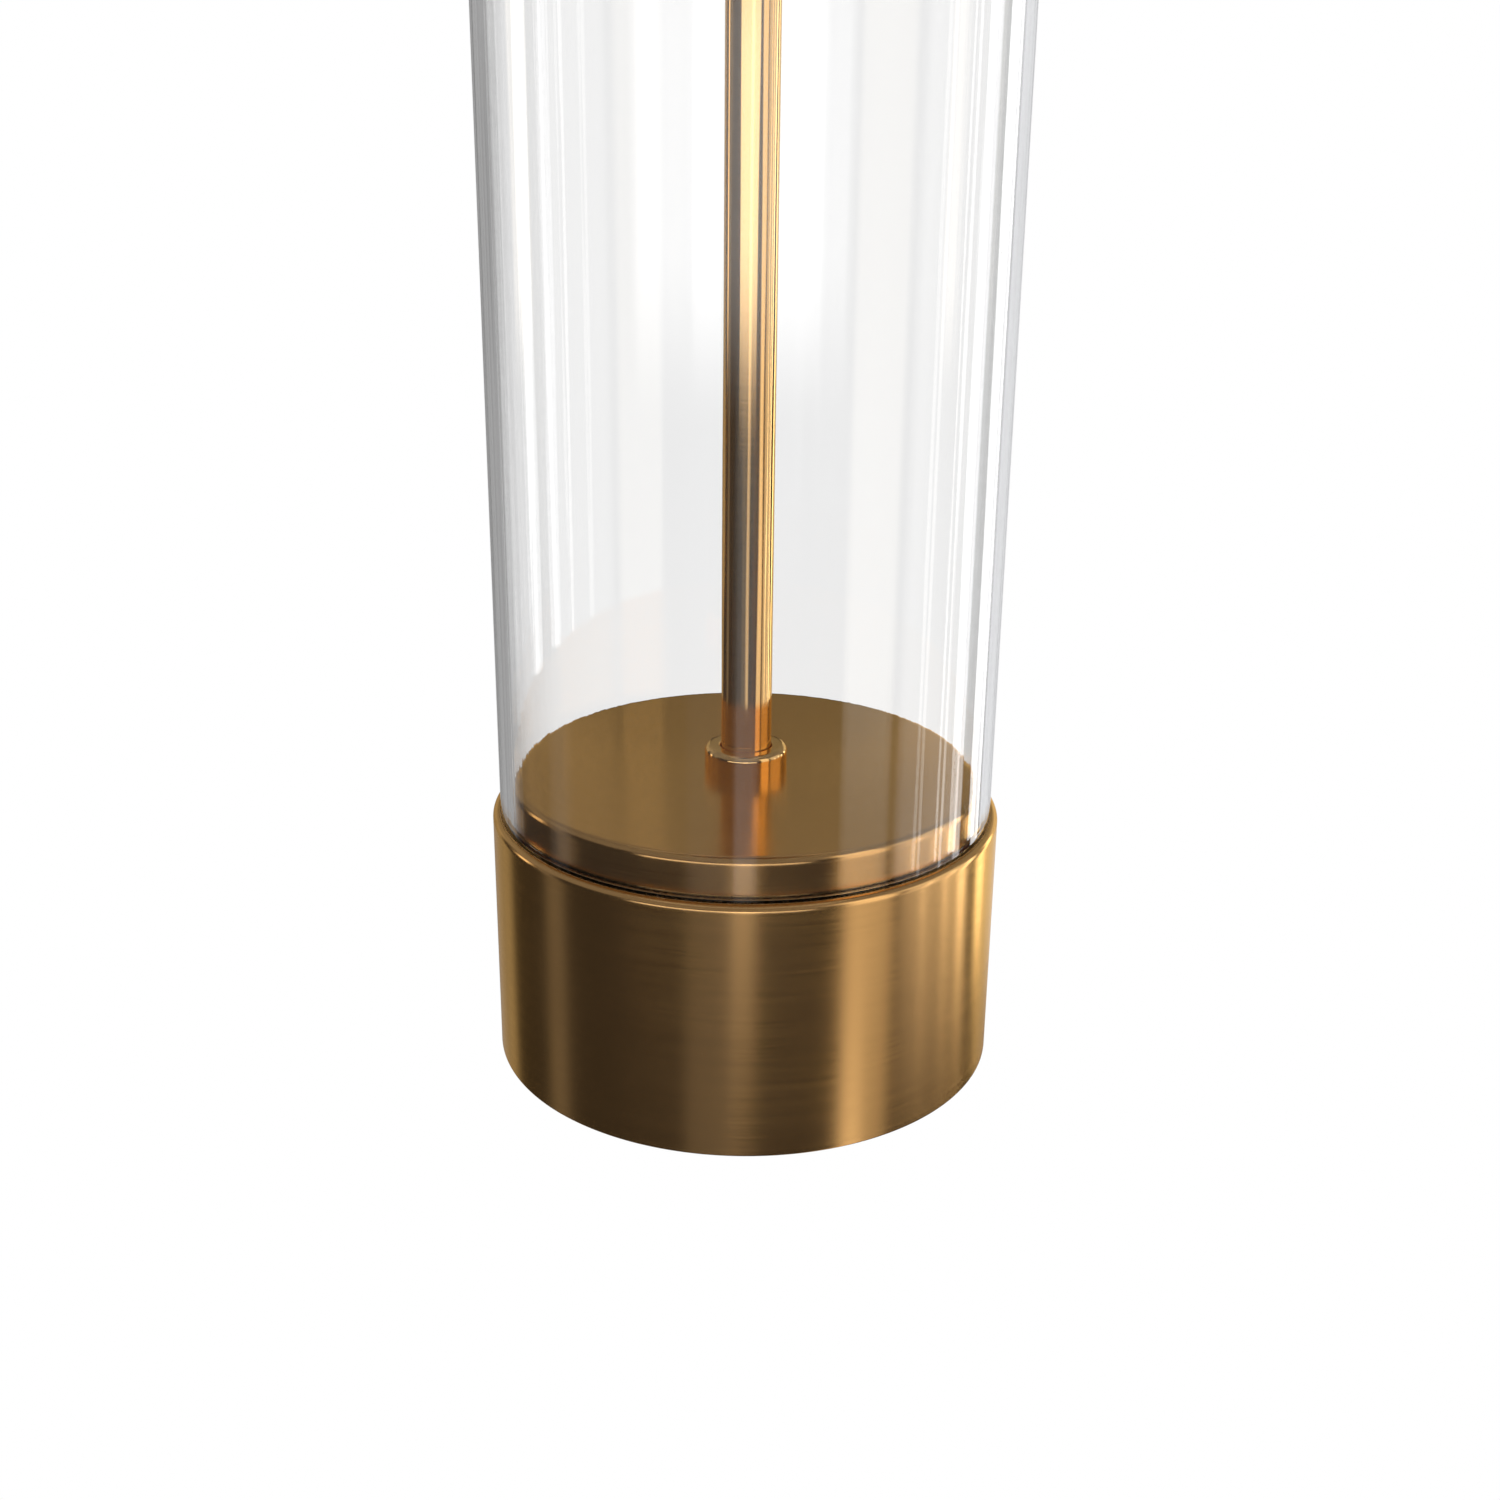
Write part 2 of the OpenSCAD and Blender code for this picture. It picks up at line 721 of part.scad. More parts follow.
// Half outline of the glass, drawn inward by t: a ball that sweeps in to a straight neck.
// The ball ends and the sweep starts where the ball's edge is 25 degrees below its middle
function bulb_outline(t, steps = 18) =
    let (r = bulb_r - t, low = -25, neck = bulb_neck_r - t,
         leave = [r * cos(low), bulb_mid_z + r * sin(low)],
         arrive = [neck, bulb_cap_z1 + 0.5])
    concat(
        [for (i = [0:steps]) let (a = 90 + (low - 90) * i / steps)
            [max(0, r * cos(a)), bulb_mid_z + r * sin(a)]],
        [for (i = [1:steps]) curve_point(leave, leave + 16 * [sin(low), -cos(low)],
                                         arrive + [0, 14], arrive, i / steps)],
        [[neck, bulb_cap_z1 - 3]]);

module bulb_glass() {
    outer = bulb_outline(0);
    inner = bulb_outline(bulb_t);
    color([0.96, 0.96, 0.94]) rotate_extrude()
        polygon(concat(outer, [for (i = [len(inner) - 1:-1:0]) inner[i]]));
}

// Screw cap with rolled threads, open at both ends
module bulb_cap() {
    thread = 3.6;
    turns = 4;
    color(steel) rotate_extrude() difference() {
        band(bulb_cap_r - bulb_cap_t, bulb_cap_r, bulb_cap_z0, bulb_cap_z1);
        for (i = [0:turns - 1])
            translate([bulb_cap_r + 0.75, bulb_cap_z0 + thread * (i + 0.8)]) circle(1);
    }
}

module bulb_insulator() {
    color([0.06, 0.06, 0.07]) translate([0, 0, contact_tip_z + tip_h])
        cylinder(r1 = 6, r2 = bulb_cap_r - bulb_cap_t, h = collar_cone_h);
}

module bulb_contact() {
    color(steel) translate([0, 0, contact_tip_z]) cylinder(r = 4.5, h = tip_h);
}

// Shade

// Stiff panel rolled to a slightly tapered drum
module shade_panel() {
    color([0.93, 0.9, 0.83]) rotate_extrude()
        polygon([[shade_bottom_od / 2 - shade_t, shade_z0], [shade_bottom_od / 2, shade_z0],
                 [shade_top_od / 2, shade_z1], [shade_top_od / 2 - shade_t, shade_z1]]);
}

// Top ring, three arms that slope down to the hub, and the hub with the stud's hole
module shade_spider() {
    ring_z = shade_z1 - ring_inset;
    arm_z = hub_z + hub_t / 2;
    run = top_ring_r - hub_od / 2 + 3;
    rise = ring_z - arm_z;
    color(brass) {
        wire_ring(top_ring_r, shade_wire_r, ring_z);
        tube(stud_r + face_gap, hub_od / 2, hub_z, hub_z + hub_t);
        for (i = [0:arm_count - 1]) rotate([0, 0, 90 + i * 360 / arm_count])
            translate([hub_od / 2 - 3, 0, arm_z + 1]) rotate([0, 90 - atan2(rise - 1, run), 0])
                cylinder(r = arm_r, h = sqrt(run * run + (rise - 1) * (rise - 1)));
    }
}

module shade_bottom_ring() {
    color(brass) wire_ring(bottom_ring_r, shade_wire_r, shade_z0 + ring_inset);
}

// Finial

// Turned finial: a foot, a waist and a ball, drilled for the stud
module finial() {
    foot_r = 7;
    foot_t = 3;
    ball_r = finial_od / 2;
    ball_z = finial_h - ball_r;
    color(brass) translate([0, 0, finial_z]) rotate_extrude() difference() {
        union() {
            band(0, foot_r, 0, foot_t);
            band(0, 4.6, 0, ball_z);
            band(0, 5.6, ball_z - ball_r - 1, ball_z);
            intersection() {
                translate([0, ball_z]) circle(ball_r);
                band(0, ball_r + over, ball_z - ball_r, ball_z + ball_r);
            }
        }
        band(0, stud_r + running, -over, 12.5);
        corner_cut([foot_r, foot_t], 1, 0);
    }
}

felt_pad();
base_weight();
base_drum();
base_plug();
lower_gasket();
cord_bushing();
bottom_washer();
bottom_nut();
pipe_bushing();
lamp_pipe();
stem_sleeve();
lower_collar();
glass_tube();
upper_collar();
top_plug();
upper_gasket();
top_cap();
neck();
check_ring();
harp_saddle();
harp();
harp_stud();
harp_sleeve_left();
harp_sleeve_right();
socket_cap();
socket_shell();
socket_insulator();
socket_core();
screw_shell();
centre_contact();
terminal_screws();
switch_bushing();
switch_shaft();
switch_knob();
bulb_glass();
bulb_cap();
bulb_insulator();
bulb_contact();
shade_panel();
shade_spider();
shade_bottom_ring();
finial();
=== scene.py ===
import math

import bmesh
import bpy
import numpy as np
from mathutils import Matrix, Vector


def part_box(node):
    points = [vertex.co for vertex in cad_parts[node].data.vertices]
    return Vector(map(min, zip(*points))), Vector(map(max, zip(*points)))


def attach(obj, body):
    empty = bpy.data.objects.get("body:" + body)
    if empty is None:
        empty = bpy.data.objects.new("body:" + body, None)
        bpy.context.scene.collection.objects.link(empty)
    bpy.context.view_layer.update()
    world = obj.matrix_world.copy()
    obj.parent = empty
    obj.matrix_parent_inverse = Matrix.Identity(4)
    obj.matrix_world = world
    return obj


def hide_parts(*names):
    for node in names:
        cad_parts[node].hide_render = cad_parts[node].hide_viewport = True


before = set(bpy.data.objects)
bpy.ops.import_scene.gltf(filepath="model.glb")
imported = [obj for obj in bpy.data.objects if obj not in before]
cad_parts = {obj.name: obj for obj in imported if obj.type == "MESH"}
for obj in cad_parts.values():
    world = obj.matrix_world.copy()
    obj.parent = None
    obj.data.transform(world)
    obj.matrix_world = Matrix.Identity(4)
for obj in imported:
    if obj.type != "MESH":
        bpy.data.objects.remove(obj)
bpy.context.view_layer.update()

# ---------------------------------------------------------------------------------------------
# Base drum. A drum turned from brass: a thin wall with a rounded lip at the top, and a deck
# inside it that carries the glass. It is brushed round and round on the lathe and lacquered.
# Sizes below are in millimetres, and a turned profile is a list of (radius, height, rounding).
# ---------------------------------------------------------------------------------------------

BORE = 5.15          # radius of the hole that every turned piece has for the lamp pipe
WALL = 1.65
FOOT_ROUND = 0.3
LIP_ROUND = 1.4
LIP_INSIDE = 0.2     # rounding of the lip's inner corner
DECK = 2.0           # thickness of the deck
SEAT = 0.6           # from the lip down to the deck
SAME_POINT = 1e-6    # profile points closer than this are one
WELD = 1e-7          # vertices closer than this, in metres, are one
SHARP_EDGE = math.radians(38)


def span(node):
    """Outer radius, foot and top of a turned CAD node that stands on the Z axis."""
    low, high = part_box(node)
    return high.x * 1000, low.z * 1000, high.z * 1000


def rounded(corners, steps=7, closed=True):
    """Profile through corners given as (radius, height, rounding). A circle of the rounding that
    touches both sides of a corner replaces it: its centre lies rounding / sin(half the angle)
    along the bisector, and the points swing evenly from one touching point to the other. One
    more point on each side, a quarter of the rounding away, keeps the shading of the sides flat."""
    c = np.asarray(corners, float)
    p, r = c[:, :2], c[:, 2]
    back, ahead = np.roll(p, 1, 0) - p, np.roll(p, -1, 0) - p
    back /= np.linalg.norm(back, axis=1, keepdims=True)
    ahead /= np.linalg.norm(ahead, axis=1, keepdims=True)
    half = np.arccos(np.clip((back * ahead).sum(1), -1, 1)) / 2
    half = np.where(r > 0, half, math.pi / 4)
    bisector = back + ahead
    bisector /= np.maximum(np.linalg.norm(bisector, axis=1, keepdims=True), 1e-9)
    centre = p + bisector * (r / np.sin(half))[:, None]
    reach = (r / np.tan(half))[:, None]
    start, end = p + back * reach, p + ahead * reach
    swing = (math.pi - 2 * half)[:, None, None]
    t = np.linspace(0, 1, steps + 1)[None, :, None]
    arc = centre[:, None] + (np.sin((1 - t) * swing) * (start - centre)[:, None]
                             + np.sin(t * swing) * (end - centre)[:, None]) / np.sin(swing)
    skirt = (r / 4)[:, None]
    line = np.concatenate([(start + back * skirt)[:, None], arc, (end + ahead * skirt)[:, None]], 1)
    line = line.reshape(-1, 2)
    last = line[:1] if closed else line[-1:] + 1
    step = np.linalg.norm(np.diff(line, axis=0, append=last), axis=1)
    return line[step > SAME_POINT]


def skin(name, points, wrap=(True, True)):
    """Piece from a grid of points in millimetres. Quad (i, j) joins (i, j), (i + 1, j),
    (i + 1, j + 1) and (i, j + 1), so it faces along d/di x d/dj. A wrapped direction joins its end
    to its start. Its UV map holds the distance along i and along j, in metres."""
    points = np.asarray(points, float) / 1000
    n, m = points.shape[:2]
    rows, columns = np.arange(n if wrap[0] else n - 1), np.arange(m if wrap[1] else m - 1)
    i, j = (grid.ravel() for grid in np.meshgrid(rows, columns, indexing="ij"))
    i1, j1 = i + 1, j + 1
    faces = np.stack([i * m + j, (i1 % n) * m + j, (i1 % n) * m + j1 % m, i * m + j1 % m], 1)
    along_i = np.linalg.norm(np.roll(points, -1, 0) - points, axis=2).max(1)
    along_j = np.linalg.norm(np.roll(points, -1, 1) - points, axis=2).max(0)
    u = np.concatenate([[0], np.cumsum(along_i)])
    v = np.concatenate([[0], np.cumsum(along_j)])
    uv = np.stack([np.stack([u[i], v[j]], 1), np.stack([u[i1], v[j]], 1),
                   np.stack([u[i1], v[j1]], 1), np.stack([u[i], v[j1]], 1)], 1)
    mesh = bpy.data.meshes.new(name)
    mesh.from_pydata(points.reshape(-1, 3).tolist(), [], faces.tolist())
    mesh.uv_layers.new(name="surface").data.foreach_set("uv", uv.astype(np.float32).ravel())
    welded = bmesh.new()
    welded.from_mesh(mesh)
    bmesh.ops.remove_doubles(welded, verts=welded.verts, dist=WELD)
    welded.to_mesh(mesh)
    welded.free()
    mesh.shade_smooth()
    mesh.set_sharp_from_angle(angle=SHARP_EDGE)
    piece = bpy.data.objects.new(name, mesh)
    bpy.context.scene.collection.objects.link(piece)
    return piece


def lathe(name, profile, turns=256, place=None, swell=None):
    """Surface of revolution: profile point (r, z) goes round to (r cos a, r sin a, z). The profile
    is closed, and is put in anticlockwise order so that the faces point outward. swell(a, r, z)
    is what is added to the radius, and place is a matrix, in metres, for a piece off the axis."""
    loop = np.asarray(profile, float)
    after = np.roll(loop, -1, 0)
    if (loop[:, 0] * after[:, 1] - after[:, 0] * loop[:, 1]).sum() < 0:
        loop = loop[::-1]
    a = np.linspace(0, 2 * math.pi, turns, endpoint=False)[:, None]
    r, z = np.broadcast_arrays(loop[None, :, 0] + 0 * a, loop[None, :, 1] + 0 * a)
    if swell:
        r = r + swell(a, r, z)
    piece = skin(name, np.stack([r * np.cos(a), r * np.sin(a), z], -1))
    if place is not None:
        piece.data.transform(place)
    return piece


def fit(piece, material, body, slot, *nodes):
    """Gives a piece its material and the body it rides on, and hides the CAD nodes it stands for.
    The slot argument is not used.
    """
    piece.data.materials.append(material)
    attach(piece, body)
    if nodes:
        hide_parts(*nodes)
    return piece


class Graph:
    """A node tree with one short call for a node and what goes into it."""

    def __init__(self, tree):
        self.tree = tree

    def feed(self, node, inputs):
        for name, value in inputs.items():
            if isinstance(value, bpy.types.Node):
                value = value.outputs[0]
            if isinstance(value, bpy.types.NodeSocket):
                self.tree.links.new(value, node.inputs[name])
            else:
                node.inputs[name].default_value = value
        return node

    def node(self, kind, inputs, **settings):
        node = self.tree.nodes.new("ShaderNode" + kind)
        for name, value in settings.items():
            setattr(node, name, value)
        return self.feed(node, inputs)

    def math(self, operation, a, b=0.0, c=0.0):
        return self.node("Math", {0: a, 1: b, 2: c}, operation=operation).outputs[0]

    def mix(self, factor, a, b):
        return self.node("Mix", {0: factor, 6: a, 7: b}, data_type="RGBA").outputs[2]

    def ramp(self, value, low, high, to_low, to_high):
        return self.node("MapRange", {0: value, 1: low, 2: high, 3: to_low, 4: to_high},
                         interpolation_type="SMOOTHSTEP").outputs[0]

    def noise(self, vector, scale, detail=3.0, rough=0.55):
        return self.node("TexNoise", {"Vector": vector, "Scale": scale, "Detail": detail,
                                      "Roughness": rough}).outputs[0]


class Finish(Graph):
    """A material whose Principled shader takes the sockets named here, and nodes for the rest."""

    def __init__(self, name, sockets):
        self.material = bpy.data.materials.new(name)
        self.material.use_nodes = True
        super().__init__(self.material.node_tree)
        self.shader = self.feed(self.tree.nodes["Principled BSDF"], sockets)
        self.place = self.node("TexCoord", {}).outputs["Object"]

    def stretched(self, x, y, z):
        return self.node("Mapping", {"Vector": self.place, "Scale": (x, y, z)})

    def bump(self, height, distance, strength=1.0):
        self.feed(self.shader, {"Normal": self.node("Bump", {"Height": height, "Distance": distance,
                                                             "Strength": strength})})


def turned_coordinates(graph, run, pitch):
    """Coordinates for marks that run round the Z axis: x and y over run, and radius plus height
    over pitch, so noise changes quickly up a wall or across a face and slowly round it."""
    x, y, z = graph.node("SeparateXYZ", {0: graph.place}).outputs
    squares = graph.math("ADD", graph.math("MULTIPLY", x, x), graph.math("MULTIPLY", y, y))
    across = graph.math("DIVIDE", graph.math("ADD", graph.math("SQRT", squares), z), pitch)
    return graph.node("CombineXYZ", {0: graph.math("DIVIDE", x, run),
                                     1: graph.math("DIVIDE", y, run), 2: across})


DARKEST = 0.93        # the darkest tone of a brass, as a part of its colour
LINE_GLOSS = 0.025    # how far the turning lines move the roughness up and down


def turned_brass(name, colour, roughness, spread, run, pitch, depth):
    """Brass with fine turning lines. The lines scatter light across themselves: the shader's
    anisotropy, spread, is turned a quarter from the UV's round-the-axis direction. The lines also
    show as a bump of the given depth, in metres, and as small changes of roughness and tone."""
    brass = Finish(name, {"Metallic": 1.0, "Anisotropic": spread, "Anisotropic Rotation": 0.25,
                          "Specular Tint": (0.97, 0.80, 0.50, 1.0)})
    lines = brass.noise(turned_coordinates(brass, run, pitch), 1.0, 4.0, 0.6)
    cloud = brass.noise(brass.place, 22.0, 3.0)
    dark = tuple(DARKEST * c for c in colour[:3]) + (1.0,)
    tone = brass.math("MULTIPLY_ADD", lines, 0.5, brass.math("MULTIPLY", cloud, 0.5))
    rough_lines = brass.ramp(lines, 0.3, 0.7, roughness - LINE_GLOSS, roughness + LINE_GLOSS)
    brass.feed(brass.shader, {
        "Base Color": brass.mix(tone, dark, colour),
        "Roughness": brass.math("ADD", rough_lines, brass.ramp(cloud, 0.35, 0.7, -0.012, 0.02)),
        "Tangent": brass.node("Tangent", {}, direction_type="UV_MAP", uv_map="surface")})
    brass.bump(lines, depth)
    return brass.material


TURNING = {"run": 0.05, "pitch": 0.0005, "depth": 0.0000001}
satin_brass = turned_brass("satin brass", (0.80, 0.475, 0.195, 1.0), 0.22, 0.5, **TURNING)

drum_r, foot_z, lip_z = span("base_drum")
deck_z = lip_z - SEAT
inner_r = drum_r - WALL
drum = rounded([
    (drum_r, foot_z, FOOT_ROUND), (drum_r, lip_z, LIP_ROUND), (inner_r, lip_z, LIP_INSIDE),
    (inner_r, deck_z, 0), (BORE, deck_z, 0), (BORE, deck_z - DECK, 0),
    (inner_r, deck_z - DECK, 0), (inner_r, foot_z, 0)])
fit(lathe("drum", drum, turns=360), satin_brass, "lamp", "brass_satin", "base_drum")

# ---------------------------------------------------------------------------------------------
# Felt pad and weight. A disc of pressed wool felt is glued under the cast iron weight that fills
# the drum. The weight stays as it was drawn and only gets the grain of sand-cast iron.
# ---------------------------------------------------------------------------------------------

felt = Finish("pressed felt", {"Roughness": 0.95, "Sheen Weight": 0.6, "Sheen Roughness": 0.5})
fibres = felt.noise(felt.stretched(1400, 1400, 2600), 1.0, 6.0, 0.75)
clumps = felt.noise(felt.place, 140.0, 4.0)
felt.feed(felt.shader, {"Base Color": felt.mix(felt.math("MULTIPLY", fibres, clumps),
                                               (0.02, 0.018, 0.016, 1), (0.15, 0.135, 0.12, 1))})
felt.bump(fibres, 0.0004)
pad_r, pad_z0, pad_z1 = span("felt_pad")
FELT_ROUND = 0.7
CUT_WAVES = ((0.12, 41, 0), (0.10, 67, 1))     # depth, waves round the edge and where they start


def hand_cut(a, r, z):
    """The cut edge wanders: two sines round it, drawn in by both their depths, so that it never
    stands out past the pad's radius. Only the outermost millimetre moves."""
    wander = sum(depth * (np.sin(waves * a + start) - 1) for depth, waves, start in CUT_WAVES)
    return np.where(r > pad_r - 1, wander, 0)


felt_disc = rounded([(0, pad_z0, 0), (pad_r, pad_z0, FELT_ROUND), (pad_r, pad_z1, FELT_ROUND),
                     (0, pad_z1, 0)])
fit(lathe("felt_disc", felt_disc, turns=300, swell=hand_cut),
    felt.material, "lamp", "felt", "felt_pad")


def dress(node, finish):
    """Gives a CAD node that is shown as it is its finished material."""
    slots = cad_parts[node].data.materials
    slots.clear()
    slots.append(finish)


iron = Finish("sand cast iron", {"Metallic": 0.85})
grains = iron.noise(iron.place, 900.0, 6.0, 0.7)
rust = iron.noise(iron.place, 60.0, 5.0)
iron.feed(iron.shader, {
    "Base Color": iron.mix(iron.ramp(rust, 0.52, 0.7, 0.0, 0.7),
                           (0.075, 0.075, 0.08, 1), (0.11, 0.06, 0.035, 1)),
    "Roughness": iron.ramp(grains, 0.3, 0.7, 0.55, 0.85)})
iron.bump(grains, 0.0004)
dress("base_weight", iron.material)

# ---------------------------------------------------------------------------------------------
# Lamp pipe with its washer, nut and inlet bushing. Zinc-plated steel pipe runs the whole height
# and clamps the lamp together. The white bushing keeps the cord off the pipe's edge.
# ---------------------------------------------------------------------------------------------

zinc = Finish("zinc plated steel", {"Metallic": 1.0})
spangle = zinc.node("TexVoronoi", {"Vector": zinc.place, "Scale": 700.0}).outputs["Color"]
scuffs = zinc.noise(zinc.stretched(300, 300, 4000), 1.0, 4.0)
zinc.feed(zinc.shader, {
    "Base Color": zinc.mix(spangle, (0.50, 0.51, 0.53, 1), (0.62, 0.62, 0.62, 1)),
    "Roughness": zinc.ramp(scuffs, 0.3, 0.7, 0.28, 0.42)})
zinc.bump(scuffs, 0.000006)
for node in ("lamp_pipe", "bottom_washer", "bottom_nut", "switch_shaft"):
    dress(node, zinc.material)

white_plastic = Finish("white moulded plastic", {"IOR": 1.49})
mould_grain = white_plastic.noise(white_plastic.place, 2500.0, 3.0)
white_plastic.feed(white_plastic.shader, {
    "Base Color": white_plastic.mix(white_plastic.noise(white_plastic.place, 90.0),
                                    (0.76, 0.75, 0.72, 1), (0.83, 0.83, 0.81, 1)),
    "Roughness": white_plastic.ramp(mould_grain, 0.3, 0.7, 0.35, 0.5)})
white_plastic.bump(mould_grain, 0.00001)
dress("pipe_bushing", white_plastic.material)

# ---------------------------------------------------------------------------------------------
# Cord outlet. A black moulded bushing snaps into the back of the drum, low down, and gives the
# flex a smooth mouth. Its flange sits against the wall, and its axis points backwards.
# ---------------------------------------------------------------------------------------------

black_plastic = Finish("black moulded plastic", {"IOR": 1.5})
fine_grain = black_plastic.noise(black_plastic.place, 2200.0, 4.0)
black_plastic.feed(black_plastic.shader, {
    "Base Color": black_plastic.mix(black_plastic.noise(black_plastic.place, 120.0),
                                    (0.018, 0.018, 0.018, 1), (0.032, 0.031, 0.03, 1)),
    "Roughness": black_plastic.ramp(fine_grain, 0.3, 0.7, 0.32, 0.48)})
black_plastic.bump(fine_grain, 0.000012)

OUTLET_MOUTH = 3.5      # radius of the hole
OUTLET_SHANK = 5.0      # radius of the part inside the wall
TO_BACK = Matrix.Rotation(math.radians(-90), 4, "X")    # turns the Z axis to +Y
low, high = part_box("cord_bushing")
outlet_z = (low.z + high.z) * 500
inner_y, outer_y, flange_r = low.y * 1000, high.y * 1000, high.x * 1000
outlet = rounded([
    (OUTLET_MOUTH, inner_y, 0.3), (OUTLET_SHANK, inner_y, 0.3), (OUTLET_SHANK, drum_r, 0),
    (flange_r, drum_r, 0), (flange_r, outer_y, 0.7), (OUTLET_MOUTH, outer_y, 0.5)])
fit(lathe("outlet_bushing", outlet, turns=96,
          place=Matrix.Translation((0, 0, outlet_z / 1000)) @ TO_BACK),
    black_plastic.material, "lamp", "black_plastic", "cord_bushing")

# ---------------------------------------------------------------------------------------------
# Plugs. Inside each end of the glass sits a turned brass plug, open at its back, whose flat face
# with a rounded edge shows through the glass. Thin silicone rings carry the glass's ends; their
# amber colour is a painted reflection of the orange glow that the brass groove throws on them.
# ---------------------------------------------------------------------------------------------

PLUG_ROUND = 1.75
PLUG_WALL = 2.5
PLUG_FACE = 3.0      # thickness of the face
HUB_R = 10.5         # boss round the pipe, behind the face


def plug(name, node, back, face):
    """Turned plug whose face is at one height and whose open back is at the other."""
    radius = span(node)[0]
    behind = face + (PLUG_FACE if back > face else -PLUG_FACE)
    profile = rounded([
        (radius, back, 0), (radius, face, PLUG_ROUND), (BORE, face, 0), (BORE, back, 0),
        (HUB_R, back, 0), (HUB_R, behind, 0), (radius - PLUG_WALL, behind, 0),
        (radius - PLUG_WALL, back, 0)], steps=9)
    return fit(lathe(name, profile, turns=320), satin_brass, "lamp", "brass_satin", node)


_, low_plug_back, low_plug_face = span("base_plug")
_, high_plug_face, high_plug_back = span("top_plug")
plug("lower_plug", "base_plug", low_plug_back, low_plug_face)
plug("upper_plug", "top_plug", high_plug_back, high_plug_face)

# Painted reflection: the amber base colour stands in for the brass groove's orange glow mirrored at
# the glass's foot.
painted_glow_silicone = Finish("silicone with painted amber glow", {"Transmission Weight": 0.5, "IOR": 1.41})
haze = painted_glow_silicone.noise(painted_glow_silicone.place, 500.0)
painted_glow_silicone.feed(painted_glow_silicone.shader, {
    "Base Color": painted_glow_silicone.mix(haze, (0.80, 0.40, 0.13, 1), (0.92, 0.50, 0.19, 1)),
    "Roughness": painted_glow_silicone.ramp(haze, 0.3, 0.7, 0.2, 0.35)})
for node in ("lower_gasket", "upper_gasket"):
    dress(node, painted_glow_silicone.material)

# ---------------------------------------------------------------------------------------------
# Stem and collars. A polished brass tube hides the pipe between the plugs, and a small turned
# collar with a rounded shoulder closes the joint at each end of it.
# ---------------------------------------------------------------------------------------------

polished_brass = turned_brass("polished brass", (0.84, 0.53, 0.23, 1.0), 0.09, 0.3, **TURNING)

stem_r, stem_z0, stem_z1 = span("stem_sleeve")
stem = rounded([(stem_r, stem_z0, 0), (stem_r, stem_z1, 0), (BORE, stem_z1, 0), (BORE, stem_z0, 0)])
fit(lathe("stem", stem, turns=128), polished_brass, "lamp", "brass_polished", "stem_sleeve")

COLLAR_ROUND = 1.5
COLLAR_BORE_ROUND = 0.5
COLLAR_GAP = 0.1
for name, node, upward in (("lower_collar_ring", "lower_collar", True),
                           ("upper_collar_ring", "upper_collar", False)):
    collar_r, z0, z1 = span(node)
    near, far = (z0, z1) if upward else (z1, z0)
    bore = stem_r + COLLAR_GAP
    collar = rounded([(collar_r, near, 0), (collar_r, far, COLLAR_ROUND),
                      (bore, far, COLLAR_BORE_ROUND), (bore, near, 0)])
    fit(lathe(name, collar, turns=160), polished_brass, "lamp", "brass_polished", node)

# ---------------------------------------------------------------------------------------------
# Glass column. Drawn clear glass tube with fire-polished rims. Drawing leaves very faint ripples
# that run the length of the tube, and they break up what the wall mirrors.
# ---------------------------------------------------------------------------------------------

GLASS_WALL = 3.0
GLASS_EDGE = 0.3
clear_glass = Finish("clear drawn glass", {"Transmission Weight": 1.0, "Roughness": 0.0,
                                           "IOR": 1.5})
ripples = clear_glass.noise(clear_glass.stretched(190, 190, 2.5), 1.0, 3.0)
tint = clear_glass.noise(clear_glass.stretched(20, 20, 4), 1.0)
clear_glass.feed(clear_glass.shader, {
    "Base Color": clear_glass.mix(tint, (0.984, 0.984, 0.984, 1), (0.993, 0.993, 0.993, 1))})
clear_glass.bump(ripples, 0.00003)
glass_r, glass_z0, glass_z1 = span("glass_tube")
glass_ri = glass_r - GLASS_WALL
glass_column = rounded([
    (glass_r, glass_z0, GLASS_EDGE), (glass_r, glass_z1, GLASS_EDGE),
    (glass_ri, glass_z1, GLASS_EDGE), (glass_ri, glass_z0, GLASS_EDGE)])
fit(lathe("glass_column", glass_column, turns=360),
    clear_glass.material, "lamp", "clear_glass", "glass_tube")

# ---------------------------------------------------------------------------------------------
# Top cap, neck and check ring. The cap is the drum's lip upside down under a flat roof. On it
# stand a turned neck, whose foot sweeps in to a waist, and a check ring that takes the harp.
# ---------------------------------------------------------------------------------------------

CAP_ROOF = 3.5       # thickness of the roof
cap_r, cap_lip, cap_top = span("top_cap")
roof = cap_top - CAP_ROOF
cap = rounded([
    (cap_r, cap_lip, LIP_ROUND), (cap_r, cap_top, PLUG_ROUND), (BORE, cap_top, 0),
    (BORE, roof, 0), (inner_r, roof, 0), (inner_r, cap_lip, LIP_INSIDE)], steps=9)
fit(lathe("cap", cap, turns=360), satin_brass, "lamp", "brass_satin", "top_cap")

NECK_WAIST = 7.5
NECK_HEAD = 9.5
NECK_STEP = 3.0          # height of the foot and of the head
NECK_SWEEP = 4.4
NECK_ROUND = 0.8
neck_foot, neck_z0, neck_z1 = span("neck")
neck = rounded([
    (neck_foot, neck_z0, 0), (neck_foot, neck_z0 + NECK_STEP, NECK_ROUND),
    (NECK_WAIST, neck_z0 + NECK_STEP, NECK_SWEEP), (NECK_WAIST, neck_z1 - NECK_STEP, 0.3),
    (NECK_HEAD, neck_z1 - NECK_STEP, NECK_ROUND), (NECK_HEAD, neck_z1, NECK_ROUND),
    (BORE, neck_z1, 0), (BORE, neck_z0, 0)], steps=10)
fit(lathe("turned_neck", neck, turns=160), polished_brass, "lamp", "brass_polished", "neck")

